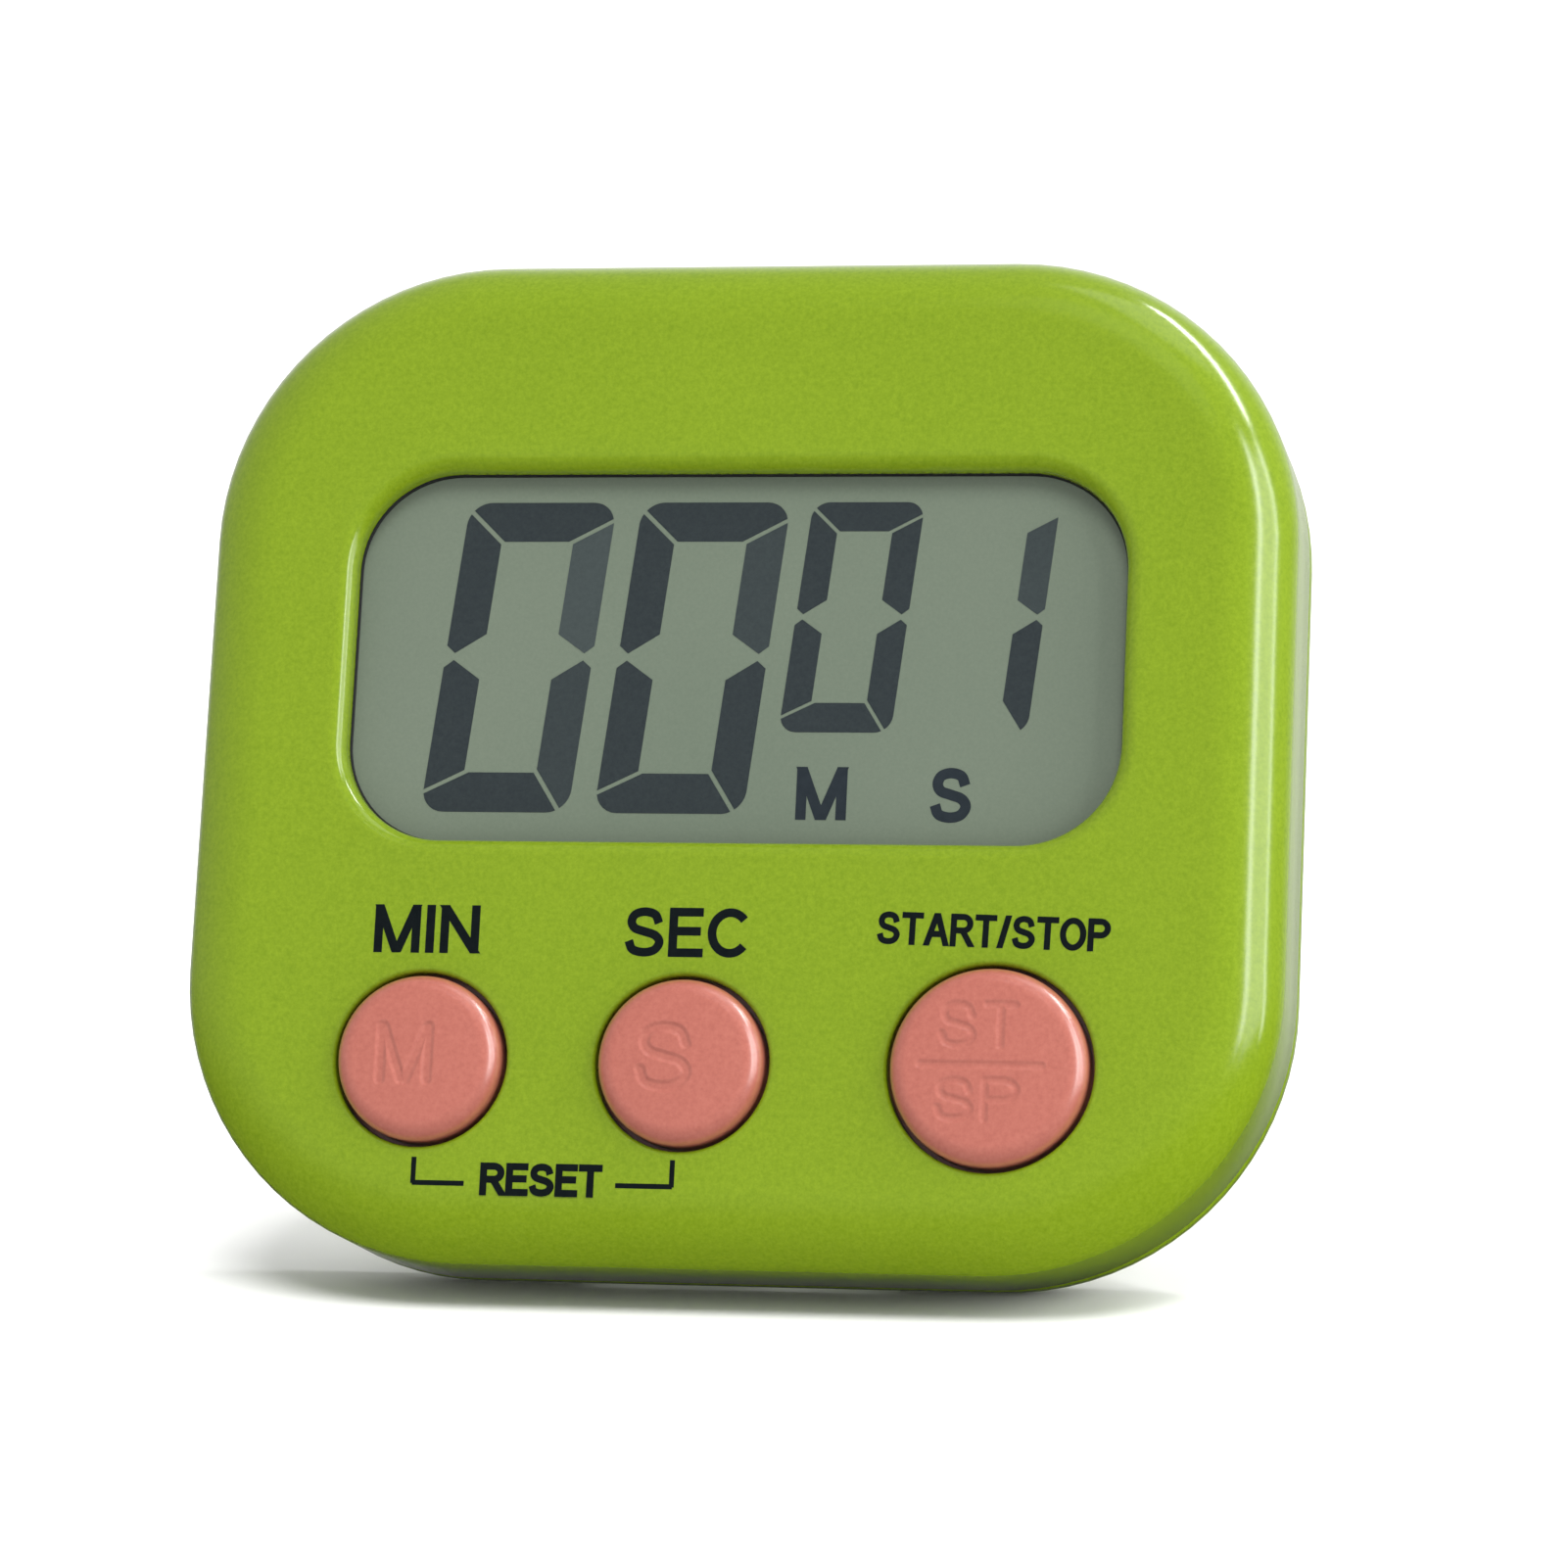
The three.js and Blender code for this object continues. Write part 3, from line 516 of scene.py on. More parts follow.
def lettering(text, left, bottom, width, height, stroke, spacing=0.33):
    """The centre lines of a line of text that fills a box, its letters spaced evenly."""
    total = sum(LETTERS[letter][0] for letter in text) + spacing * (len(text) - 1)
    stretch = (width - stroke) / total
    x, lines = left + stroke / 2, []
    for letter in text:
        letter_width, strokes = LETTERS[letter]
        corner = (x, bottom + stroke / 2)
        lines += [np.asarray(line) * (stretch, height - stroke) + corner for line in strokes]
        x += stretch * (letter_width + spacing)
    return lines


def ribbon(surface, line, width, bottom, top):
    """A stroke of constant width as a closed strip: the line moved half the width to either side, at
    two levels. A ring has no ends. A straight stroke is longer by half its width at both ends, and is
    cut off level unless it lies flat."""
    line = np.asarray(line, float)
    ring = np.allclose(line[0], line[-1])
    if ring:
        line = line[:-1]
        along = np.roll(line, -1, 0) - np.roll(line, 1, 0)
    else:
        along = np.gradient(line, axis=0)
    along /= np.linalg.norm(along, axis=1, keepdims=True)
    side = np.stack([-along[:, 1], along[:, 0]], 1) * width / 2
    if len(line) == 2:
        reach = along * width / 2
        if abs(along[0, 1]) > 0.3:
            reach /= abs(along[0, 1])
            side = np.array([[width / 2 / along[0, 1], 0]] * 2)
        line = line + np.array([[-1], [1]]) * reach
    left, right = line + side, line - side
    rows = np.array([at_level(left, bottom), at_level(right, bottom),
                     at_level(right, top), at_level(left, top)])
    surface.grid(np.concatenate([rows, rows[:1]]), closed=ring)
    if not ring:
        surface.add(rows[:, 0], [[0, 1, 2, 3]])
        surface.add(rows[:, -1], [[0, 1, 2, 3]])


def turned(points, degrees, centre):
    """Points turned in the face's plane about a centre."""
    angle = np.radians(degrees)
    spin = np.array([[np.cos(angle), np.sin(angle)], [-np.sin(angle), np.cos(angle)]])
    return (points - centre) @ spin + centre


def print_text(name, lines, stroke, material, level=0.0, tilt=0.0):
    """Strokes of ink in one mesh. Each lies a hair above the last, so that none share a plane where
    they cross."""
    surface = Surface()
    centre = np.concatenate(lines).mean(0)
    for order, line in enumerate(lines):
        ribbon(surface, turned(line, tilt, centre), stroke, level, level + INK_THICK + INK_STEP * order)
    return surface.mesh(name, material, "case")


def printing_ink(name, dark, pale):
    """Flat ink with a fine grain that sets both its tint and its roughness."""
    ink = Finish(name, {"IOR": 1.2})
    grain = ink.noise(2500, 3.0)
    ink.drive("Base Color", ink.mix(grain, dark, pale))
    ink.drive("Roughness", 0.4 + grain * 0.15)
    return ink.material


legend_ink = printing_ink("black_printing_ink", srgb(3, 8, 10), srgb(12, 18, 20))
sign_ink = printing_ink("dark_grey_sign_ink", srgb(26, 32, 37), srgb(36, 42, 47))

# Each legend is its text, the left, bottom, width and height of its box, its stroke and its tilt.
LEGENDS = {
    "legend_min": ("MIN", (-19.85, -11.95, 6.1, 2.75), 0.49, 0.0),
    "legend_sec": ("SEC", (-5.35, -12.0, 7.2, 2.8), 0.49, 0.0),
    "legend_start_stop": ("START/STOP", (9.0, -11.25, 13.1, 1.85), 0.34, -1.3),
    "legend_reset": ("RESET", (-12.9, -25.65, 7.0, 1.85), 0.4, 0.0),
}
for name, (words, box, stroke, tilt) in LEGENDS.items():
    print_text(name, lettering(words, *box, stroke), stroke, legend_ink, tilt=tilt)

BRACKET_STROKE = 0.28
BRACKETS = {
    "legend_bracket_left": [[(-16.75, -24.9), (-16.75, -23.7)], [(-16.65, -25.0), (-13.95, -25.0)]],
    "legend_bracket_right": [[(-1.95, -24.85), (-1.95, -23.6)], [(-5.0, -24.95), (-2.05, -24.95)]],
}
for name, lines in BRACKETS.items():
    print_text(name, [np.array(line) for line in lines], BRACKET_STROKE, legend_ink)

SIGN_STROKE = 0.6
SIGNS = {"lcd_sign_m": ("M", (3.7, -3.75, 2.9, 3.05)), "lcd_sign_s": ("S", (11.35, -3.85, 2.35, 3.15))}
for name, (letter, box) in SIGNS.items():
    print_text(name, lettering(letter, *box, SIGN_STROKE), SIGN_STROKE, sign_ink, FILM_FRONT)


# ---- Keys and domes ------------------------------------------------------------------------------
# Round caps of coral pink plastic with a soft edge. A flange keeps each in the case and a hub under it
# rests on a dome of silicone rubber, shown at rest. The letters are pressed into the top.

KEY_PROUD, KEY_EDGE, KEY_CROWN = 1.2, 1.05, 0.1
FLANGE, FLANGE_TOP, FLANGE_BOTTOM = 1.0, -1.8, -2.8
HUB_RADIUS, HUB_END = 2.2, -3.4
KEY_TRAVEL = 0.8

pink_plastic = moulded("coral_pink_plastic", srgb(157, 88, 75), srgb(145, 77, 65), 0.28,
                       **{"Coat Weight": 1.0, "Coat Roughness": 0.25})
silicone = Finish("silicone_rubber", {"Subsurface Weight": 0.3, "Subsurface Scale": 0.001})
silicone_cloud = silicone.noise(300)
silicone.drive("Base Color", silicone.mix(silicone_cloud, srgb(206, 206, 198), srgb(226, 226, 220)))
silicone.drive("Roughness", 0.5 + 0.2 * silicone_cloud)


def distance_to(lines, x, y):
    """The distance from each point to the nearest of several centre lines."""
    nearest = np.full(x.shape, np.inf)
    for line in lines:
        for (x0, y0), (x1, y1) in zip(line[:-1], line[1:]):
            dx, dy = x1 - x0, y1 - y0
            t = np.clip(((x - x0) * dx + (y - y0) * dy) / (dx * dx + dy * dy), 0, 1)
            nearest = np.minimum(nearest, np.hypot(x - x0 - t * dx, y - y0 - t * dy))
    return nearest


def engraved_top(surface, centre, radius, level, crown, lines, stroke, depth, wall, profile,
                 facing=1, count=200):
    """A round top with grooves, and a profile of (radius, z) pairs turned on from its rim. The top is a
    square grid drawn out to a disc, ring by ring. Its height is the level, plus a crown that falls with
    the square of the radius, less the depth times a smooth step of the distance to the nearest line."""
    s = np.linspace(-1, 1, count + 1)
    u, v = np.meshgrid(s, s)
    ring = np.maximum(np.abs(u), np.abs(v))
    longer = np.abs(u) >= np.abs(v)
    reach = np.where(longer, u, v)
    share = np.where(longer, v, u) / np.where(ring == 0, 1, reach)
    angle = np.where(longer, share, 2 - share) * np.pi / 4 + np.where(reach < 0, np.pi, 0)
    x, y = centre[0] + ring * radius * np.cos(angle), centre[1] + ring * radius * np.sin(angle)
    step = np.clip((distance_to(lines, x, y) - (stroke - wall) / 2) / wall, 0, 1)
    groove = 1 - step * step * (3 - 2 * step)
    height = level + facing * (crown * (1 - ring ** 2) - depth * groove)
    surface.grid(np.stack([x, y, height], -1), closed=False)
    rim = np.concatenate([angle[0, :-1], angle[:-1, -1], angle[-1, :0:-1], angle[:0:-1, 0]])
    turn = np.stack([np.cos(rim), np.sin(rim)], 1)
    surface.grid([at_level(centre + row_radius * turn, z) for row_radius, z in profile])


# The grooves in each key's top: their centre lines, their width and their depth.
TIME_GROOVE, START_GROOVE, START_LETTER_STROKE, GROOVE_WALL = (0.5, 0.09), (0.34, 0.07), 0.32, 0.28
KEY_LETTERS = {
    "minute": (lettering("M", -19.0, -19.6, 3.2, 3.5, TIME_GROOVE[0]), *TIME_GROOVE),
    "second": (lettering("S", -4.1, -19.75, 3.15, 3.85, TIME_GROOVE[0]), *TIME_GROOVE),
    "start_stop": (lettering("ST", 12.9, -17.05, 4.4, 2.6, START_LETTER_STROKE)
                   + lettering("SP", 12.8, -21.15, 4.7, 2.45, START_LETTER_STROKE)
                   + [np.array([(11.9, -18.0), (18.7, -18.0)])], *START_GROOVE),
}
# A dome's sides: its round head, its thin wall down to the foot, and the hollow under it. Heights are
# from the foot, and the foot's own radii are measured inwards from its edge.
DOME_HEAD, DOME_HEAD_SOFT = 2.4, 0.3
DOME_NECK, DOME_SKIRT = (2.5, 0.9), (3.7, 0.75)
DOME_FOOT = np.array([(0.15, 0.5), (0, 0.35), (0, 0), (1.1, 0), (1.5, 0.4)])
DOME_HOLLOW, DOME_HOLLOW_TOP = 1.8, 1.1
for name, key in KEYS.items():
    radius, shoulder = key["radius"], KEY_PROUD - KEY_CROWN
    lines, stroke, depth = KEY_LETTERS[name]
    cap = Surface()
    engraved_top(cap, (key["x"], KEY_Y), radius - KEY_EDGE, shoulder, KEY_CROWN, lines, stroke, depth,
                 GROOVE_WALL, np.concatenate([
                     rounding((radius - KEY_EDGE, shoulder), (radius, shoulder - KEY_EDGE), 10),
                     [(radius, FLANGE_TOP), (radius + FLANGE, FLANGE_TOP), (radius + FLANGE, FLANGE_BOTTOM),
                      (HUB_RADIUS, FLANGE_BOTTOM), (HUB_RADIUS, HUB_END), (0, HUB_END)]]))
    piece = cap.mesh(f"{name}_key_cap", pink_plastic, f"{name}_key")
    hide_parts(f"{name}_button")

    low, high = extent(f"{name}_dome")
    foot, head, base = low[2], high[2], (high[0] - low[0]) / 2
    dome = Surface()
    flat_head = (DOME_HEAD - DOME_HEAD_SOFT, head)
    dome.turn((key["x"], KEY_Y), np.concatenate([
        [(0, head), flat_head], rounding(flat_head, (DOME_HEAD, head - DOME_HEAD_SOFT), 4),
        [(DOME_NECK[0], head - DOME_NECK[1]), (DOME_SKIRT[0], foot + DOME_SKIRT[1])],
        DOME_FOOT * (-1, 1) + (base, foot),
        [(DOME_HOLLOW, foot + DOME_HOLLOW_TOP), (0, foot + DOME_HOLLOW_TOP)]]), 64)
    piece = dome.mesh(f"{name}_silicone_dome", silicone.material, "case")
    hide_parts(f"{name}_dome")
    1 - KEY_TRAVEL / (head - foot)
    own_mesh(piece)


# ---- Behind the display --------------------------------------------------------------------------
# The rest of the display's sandwich, the circuit board with its parts, the buzzer, the cell and its
# springs. They are the CAD nodes themselves, each with the finish of its stuff.


def stuff(name, dark, light, scale, rough, metallic=0.0, **constants):
    """A plain finish: two tints mixed by noise, and a roughness that follows it."""
    finish = Finish(name, {"Metallic": metallic, **constants})
    cloud = finish.noise(scale, 3.0, 0.6)
    finish.drive("Base Color", finish.mix(cloud, srgb(*dark), srgb(*light)))
    finish.drive("Roughness", rough - 0.1 + 0.2 * cloud)
    return finish


display_glass = stuff("display_glass", (176, 196, 180), (198, 212, 198), 200, 0.12,
                      **{"Transmission Weight": 0.8})
reflector = stuff("matt_reflector", (150, 156, 144), (168, 174, 160), 900, 0.55, 0.3)
laminate = stuff("green_laminate", (24, 92, 48), (40, 118, 62), 1500, 0.42)
epoxy = stuff("black_epoxy", (20, 20, 22), (34, 34, 36), 900, 0.3)
ceramic = stuff("cream_ceramic", (212, 200, 166), (228, 218, 190), 1200, 0.6)
tin = stuff("tinned_sheet", (176, 178, 180), (208, 210, 212), 700, 0.34, 1.0)
brass = stuff("rolled_brass", (178, 142, 64), (212, 178, 96), 500, 0.3, 1.0)
red_lead = stuff("red_lead", (150, 28, 24), (180, 44, 36), 900, 0.45)
black_lead = stuff("black_lead", (22, 22, 24), (36, 36, 38), 900, 0.45)
steel = stuff("plated_steel", (150, 152, 156), (192, 194, 198), 800, 0.3, 1.0)

zebra = Finish("layered_rubber", {"Roughness": 0.7})
bands = zebra.node("ShaderNodeTexWave", {"wave_type": "BANDS", "bands_direction": "X"},
                   {"Vector": zebra.place, "Scale": 600.0, "Distortion": 0.0})
zebra.drive("Base Color", zebra.mix(bands, srgb(40, 40, 42), srgb(176, 170, 164)))

# A black strip stands for the seal between the film and the back of the window's lip. It reaches a little
# into the window and shows there as a black band. That band is painted shade: the shade of the window's wall
# under the lip.
SEAL_STRIP_REACH, SEAL_STRIP_WIDTH, SEAL_STRIP_GAP = 0.1, 1.1, 0.01
# Near-black finish of the seal strip; its band round the inside of the window is painted shade.
seal_and_shade_black = stuff("black_seal_and_painted_shade", (14, 15, 18), (30, 31, 34), 1500, 0.85)
seal_and_shade_strip = Surface()
front, rear = -FACE_THICK - SEAL_STRIP_GAP, FILM_FRONT + SEAL_STRIP_GAP
seal_and_shade_strip.sweep(window_outline, [(-SEAL_STRIP_REACH, front), (-SEAL_STRIP_REACH, rear), (SEAL_STRIP_WIDTH - SEAL_STRIP_REACH, rear),
                            (SEAL_STRIP_WIDTH - SEAL_STRIP_REACH, front), (-SEAL_STRIP_REACH, front)])
seal_and_shade_strip.mesh("window_seal_and_painted_shade", seal_and_shade_black.material, "case")


FINISH_OF = {
    "lcd_front_glass": display_glass, "lcd_rear_glass": display_glass, "lcd_reflector": reflector,
    "lcd_zebra_strip": zebra, "circuit_board": laminate, "chip_blob": epoxy, "pull_up_resistor": epoxy,
    "buzzer_resistor": epoxy, "capacitor": ceramic, "quartz_crystal": tin, "buzzer_plate": brass,
    "buzzer_ceramic": ceramic, "buzzer_wire_red": red_lead, "buzzer_wire_black": black_lead,
    "battery_contact_negative": tin, "battery_contact_positive": tin, "button_cell": steel,
}
BOARD_SCREWS = [f"board_screw_{place}" for place in ("left", "right", "lower_left", "lower_right")]
FINISH_OF.update({screw: steel for screw in BOARD_SCREWS})
for node, finish in FINISH_OF.items():
    dress(node, finish.material)


# ---- Back cover ----------------------------------------------------------------------------------
# A moulded tray in the same green plastic that closes the case. It has a recess for the kickstand, a
# pocket for the magnet, the battery's opening, a ring of sound holes and four countersunk screw holes.

BACK, SEAM, COVER_INSIDE = -CASE_DEPTH, PARTING - 0.15, -CASE_DEPTH + WALL
REAR_INSET = 2.0
RECESS_FLOOR, RECESS_TOP = -10.5, -0.7
STAND_WIDTH, FIT = 18.0, 0.3
RECESS_HALF = STAND_WIDTH / 2 + FIT
RIB, INSIDE_BEND = 1.5, 0.3
SILL = (-RECESS_HALF - RIB, -RECESS_HALF, RECESS_HALF, RECESS_HALF + RIB)
CASE_SCREWS = [f"case_screw_{place}" for place in ("top_left", "top_right", "bottom_left", "bottom_right")]
DOOR_OPENING, DOOR_LEDGE, DOOR_THROAT = 8.0, -11.7, 6.9
MAGNET_RADIUS, MAGNET_THICK, MAGNET_CUP = 7.0, 2.4, 1.0
SOUND_HOLE, SOUND_CIRCLE = 0.8, 3.8
SCREW_WELL, SCREW_SEAT, SCREW_HOLE, BOSS_RADIUS = 1.85, BACK + 1.7, 1.2, 2.6
DOOR_SOFT_EDGE, POCKET_SOFT_EDGE, SOUND_SOFT_EDGE, WELL_SOFT_EDGE = 0.2, 0.15, 0.12, 0.001


def middle_of(node):
    """The middle of a CAD node, seen along z."""
    return tuple(((np.add(*extent(node))) / 2)[:2])


DOOR_CENTRE = middle_of("battery_door")
BUZZER_CENTRE = middle_of("buzzer_plate")


def notched_tray(shell, profile, half, top, corner=1.0):
    """Rows of a profile of (inset, z) pairs round the case, broken by a notch through the bottom edge.
    The notch reaches from -half to half and up to y = top, has its floor at the profile's first z and
    has round upper corners. Returns the loop that the flat face starts from."""
    rows, skipped = [], sum(abs(x) < half - STRIP for x in SILL)
    for inset, z in profile:
        loop = case_outline(inset, SILL)
        bottom = np.isclose(loop[:, 1], inset - CASE_HEIGHT / 2)
        start = np.flatnonzero(bottom & np.isclose(loop[:, 0], half))[0]
        rows.append(at_level(np.roll(loop, -start, 0), z))
    crossed = rows[0][len(rows[0]) - skipped:, :2]
    rows = np.array(rows)[:, :len(rows[0]) - skipped]
    shell.grid(rows, closed=False)
    floor, flat = profile[0][1], profile[-1][1]
    bend = arc(half - corner, top - corner, corner, corner, 0, 90, 8)
    rise = np.concatenate([rows[:, 0], at_level(bend, flat)])
    edge = np.concatenate([rise, rise[::-1] * (-1, 1, 1)])
    foot = at_level(edge[:, :2], floor)
    shell.grid([foot, edge], closed=False)
    shell.fill(np.concatenate([foot[:, :2], crossed]), [], floor)
    return np.concatenate([rows[-1][:, :2], edge[len(rows):-len(rows), :2][::-1]])


def back_cover_surface():
    """The closed tray: its rim swept round the outline, its outside and its inside each as a notched
    tray, and the two flat faces filled round the pockets and the holes."""
    tray = Surface()
    tray.sweep(lambda inset: case_outline(inset, SILL), np.concatenate([
        [(WALL, SEAM)], rounding((RIM_EDGE, SEAM), (0, SEAM - RIM_EDGE), 4), [(0, RECESS_FLOOR)]]))
    outside = notched_tray(tray, np.concatenate([
        rounding((REAR_INSET, BACK), (0, RECESS_FLOOR), 12)[::-1], [(REAR_INSET + STRIP, BACK)]]),
        RECESS_HALF, RECESS_TOP)
    inside_loop = notched_tray(tray, [
        (WALL, SEAM), (WALL, COVER_INSIDE + INSIDE_BEND), (WALL + INSIDE_BEND, COVER_INSIDE),
        (WALL + INSIDE_BEND + STRIP, COVER_INSIDE)],
        RECESS_HALF + RIB, RECESS_TOP + RIB)
    outer_holes, inner_holes = [], []

    def opening(centre, outer, through, soft):
        """A hole whose profile of (radius, z) pairs runs on from a soft edge on the back."""
        tray.turn(centre, np.concatenate([
            [(outer + soft + STRIP, BACK)],
            rounding((outer + soft, BACK), (outer, BACK + soft), 5), through]))
        outer_holes.append(circle(outer + soft + STRIP, centre))

    def floor_hole(centre, radius):
        """Leaves a round hole in the tray's floor."""
        inner_holes.append(circle(radius, centre))

    opening(DOOR_CENTRE, DOOR_OPENING, [
        (DOOR_OPENING, DOOR_LEDGE), (DOOR_THROAT, DOOR_LEDGE), (DOOR_THROAT, COVER_INSIDE)], DOOR_SOFT_EDGE)
    floor_hole(DOOR_CENTRE, DOOR_THROAT)
    magnet, pocket, cup = (0, MAGNET_Y), MAGNET_RADIUS + FIT, MAGNET_RADIUS + MAGNET_CUP
    pocket_floor = BACK + MAGNET_THICK + FIT
    opening(magnet, pocket, [(pocket, pocket_floor), (0, pocket_floor)], POCKET_SOFT_EDGE)
    cup_top = pocket_floor + MAGNET_CUP
    tray.turn(magnet, [(cup, COVER_INSIDE), (cup, cup_top), (0, cup_top)])
    floor_hole(magnet, cup)
    ring = circle(SOUND_CIRCLE, BUZZER_CENTRE, 6)
    for centre in [BUZZER_CENTRE, *map(tuple, ring)]:
        opening(centre, SOUND_HOLE, [(SOUND_HOLE, COVER_INSIDE)], SOUND_SOFT_EDGE)
        floor_hole(centre, SOUND_HOLE)
    for screw in CASE_SCREWS:
        centre = middle_of(screw)
        opening(centre, SCREW_WELL - WELL_SOFT_EDGE, [
            (SCREW_WELL, SCREW_SEAT), (SCREW_HOLE, SCREW_SEAT), (SCREW_HOLE, COVER_INSIDE)], WELL_SOFT_EDGE)
        floor_hole(centre, SCREW_HOLE)
    tray.fill(outside, outer_holes, BACK)
    tray.fill(inside_loop, inner_holes, COVER_INSIDE)
    return tray


back_cover = back_cover_surface().mesh("back_cover_tray", green_plastic, "case")
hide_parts("back_cover")

# Rings on the tray's floor: the battery's well with the groove for the door's tabs, the buzzer's seat
# and the four screw bosses. The groove is a radius and two levels, the cell's seat a radius and its top,
# the well's wall two radii and the level of its step, and the buzzer's seat two radii and its top.
RING_FOOT = COVER_INSIDE
TAB_GROOVE, CELL_SEAT, WELL_WALL = (8.0, -10.9, -9.6), (6.1, -5.5), (7.3, 9.2, -9.1)
BUZZER_SEAT = (8.3, 9.3, -10.4)
rings = Surface()


def post(centre, inner, outer, top, count=72):
    """A plain ring that stands on the tray's floor."""
    rings.turn(centre, [(inner, RING_FOOT), (inner, top), (outer, top), (outer, RING_FOOT),
                        (inner, RING_FOOT)], count)


rings.turn(DOOR_CENTRE, [
    (DOOR_THROAT, RING_FOOT), (DOOR_THROAT, TAB_GROOVE[1]), TAB_GROOVE[:2], TAB_GROOVE[::2],
    (CELL_SEAT[0], TAB_GROOVE[2]), CELL_SEAT, (WELL_WALL[0], CELL_SEAT[1]), WELL_WALL[::2],
    WELL_WALL[1:], (WELL_WALL[1], RING_FOOT), (DOOR_THROAT, RING_FOOT)])
post(BUZZER_CENTRE, *BUZZER_SEAT)
for screw in CASE_SCREWS:
    post(middle_of(screw), SCREW_HOLE, BOSS_RADIUS, SEAM, 40)
back_rings = rings.mesh("back_cover_rings", green_plastic, "case")


# ---- Battery door --------------------------------------------------------------------------------
# A green bayonet cap, flush with the back. A coin turns it by the slot, and two tabs on its skirt
# slide under the rim of the opening.

DOOR_RADIUS, DOOR_THICK, DOOR_SOFT = 7.7, 1.0, 0.3
SLOT_ANGLE, SLOT_LENGTH, SLOT_WIDTH, SLOT_DEPTH, SLOT_WALL = 40, 10.0, 1.8, 0.5, 0.25
SKIRT = (6.05, 6.6)
TAB_REACH, TAB_WIDTH, TAB_ROOT, TAB_LEVELS = 7.6, 3.0, 0.1, (-10.6, -9.9)

door_middle = np.array(DOOR_CENTRE)
slot_turn = np.radians(SLOT_ANGLE)
slot_half = (SLOT_LENGTH - SLOT_WIDTH) / 2 * np.array([np.cos(slot_turn), np.sin(slot_turn)])
door = Surface()
door_inside = BACK + DOOR_THICK
engraved_top(door, door_middle, DOOR_RADIUS - DOOR_SOFT, BACK, 0,
             [[door_middle - slot_half, door_middle + slot_half]],
             SLOT_WIDTH, SLOT_DEPTH, SLOT_WALL, np.concatenate([
                 rounding((DOOR_RADIUS - DOOR_SOFT, BACK), (DOOR_RADIUS, BACK + DOOR_SOFT), 8),
                 [(DOOR_RADIUS, door_inside), (SKIRT[1], door_inside), (SKIRT[1], TAB_LEVELS[1]),
                  (SKIRT[0], TAB_LEVELS[1]), (SKIRT[0], door_inside), (0, door_inside)]]), facing=-1)
for side in (0, 180):
    spread = np.degrees(TAB_WIDTH / 2 / TAB_REACH)
    limits = (SLOT_ANGLE + side - spread, SLOT_ANGLE + side + spread)
    outer = arc(*DOOR_CENTRE, TAB_REACH, TAB_REACH, *limits, 8)
    inner = arc(*DOOR_CENTRE, SKIRT[1] - TAB_ROOT, SKIRT[1] - TAB_ROOT, *limits, 8)
    door.slab(np.concatenate([outer, inner[::-1]]), *TAB_LEVELS)
battery_door = door.mesh("battery_door_cap", green_plastic, "door")
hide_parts("battery_door")


# ---- Magnet --------------------------------------------------------------------------------------
# A disc of sintered ferrite, dark and matt as it comes from the kiln, with its edge taken off. It is
# glued into its pocket flush with the back, and holds the timer to a steel door.

MAGNET_SOFT = 0.3

ferrite = stuff("sintered_ferrite", (46, 46, 48), (74, 74, 76), 2200, 0.5, 0.4)
disc = Surface()
disc.turn((0, MAGNET_Y), np.concatenate([
    [(0, BACK), (MAGNET_RADIUS - MAGNET_SOFT - STRIP, BACK)],
    rounding((MAGNET_RADIUS - MAGNET_SOFT, BACK), (MAGNET_RADIUS, BACK + MAGNET_SOFT), 5),
    [(MAGNET_RADIUS, BACK + MAGNET_THICK), (0, BACK + MAGNET_THICK)]]), 96)
magnet_disc = disc.mesh("magnet_disc", ferrite.material, "case")
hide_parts("magnet")


# ---- Case screws ---------------------------------------------------------------------------------
# Self-tapping screws of plated steel with a flat cross-slotted head. They are sunk in the back and cut
# their coarse thread into the front case's bosses.

HEAD_RADIUS, HEAD_THICK, HEAD_CROWN, HEAD_EDGE = 1.7, 1.2, 0.1, 0.25
CROSS_REACH, CROSS_WIDTH, CROSS_DEPTH, CROSS_WALL = 0.95, 0.5, 0.6, 0.12
SHANK_RADIUS, THREAD_DEPTH, THREAD_PITCH, THREAD_START, THREAD_END = 0.9, 0.2, 0.8, 0.4, 1.2
POINT_RADIUS, POINT_LENGTH = 0.65, 0.9
for screw in CASE_SCREWS:
    low, high = extent(screw)
    centre, head_back, tip = (low + high)[:2] / 2, low[2], high[2]
    cross = [[centre - arm, centre + arm] for arm in CROSS_REACH * np.eye(2)]
    root, shoulder = SHANK_RADIUS - THREAD_DEPTH, head_back + HEAD_CROWN
    turns = np.arange(head_back + HEAD_THICK + THREAD_START, tip - THREAD_END, THREAD_PITCH)
    levels = (turns[:, None] + THREAD_PITCH * np.array([0, 0.35, 0.7])).ravel()
    thread = np.stack([np.tile([root, SHANK_RADIUS, root], len(turns)), levels], 1)
    body = Surface()
    engraved_top(body, centre, HEAD_RADIUS - HEAD_EDGE, shoulder, HEAD_CROWN, cross,
                 CROSS_WIDTH, CROSS_DEPTH, CROSS_WALL, np.concatenate([
                     rounding((HEAD_RADIUS - HEAD_EDGE, shoulder), (HEAD_RADIUS, shoulder + HEAD_EDGE), 4),
                     [(HEAD_RADIUS, head_back + HEAD_THICK), (root, head_back + HEAD_THICK)],
                     thread, [(POINT_RADIUS, tip - POINT_LENGTH), (0, tip)]]), facing=-1, count=64)
    piece = body.mesh(f"{screw}_threaded", steel.material, "case")
    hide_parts(screw)


# ---- Kickstand -----------------------------------------------------------------------------------
# A flat green leg that folds into the back cover's recess, on two stub pins moulded at its top. Ribs
# near its foot give a fingertip hold.

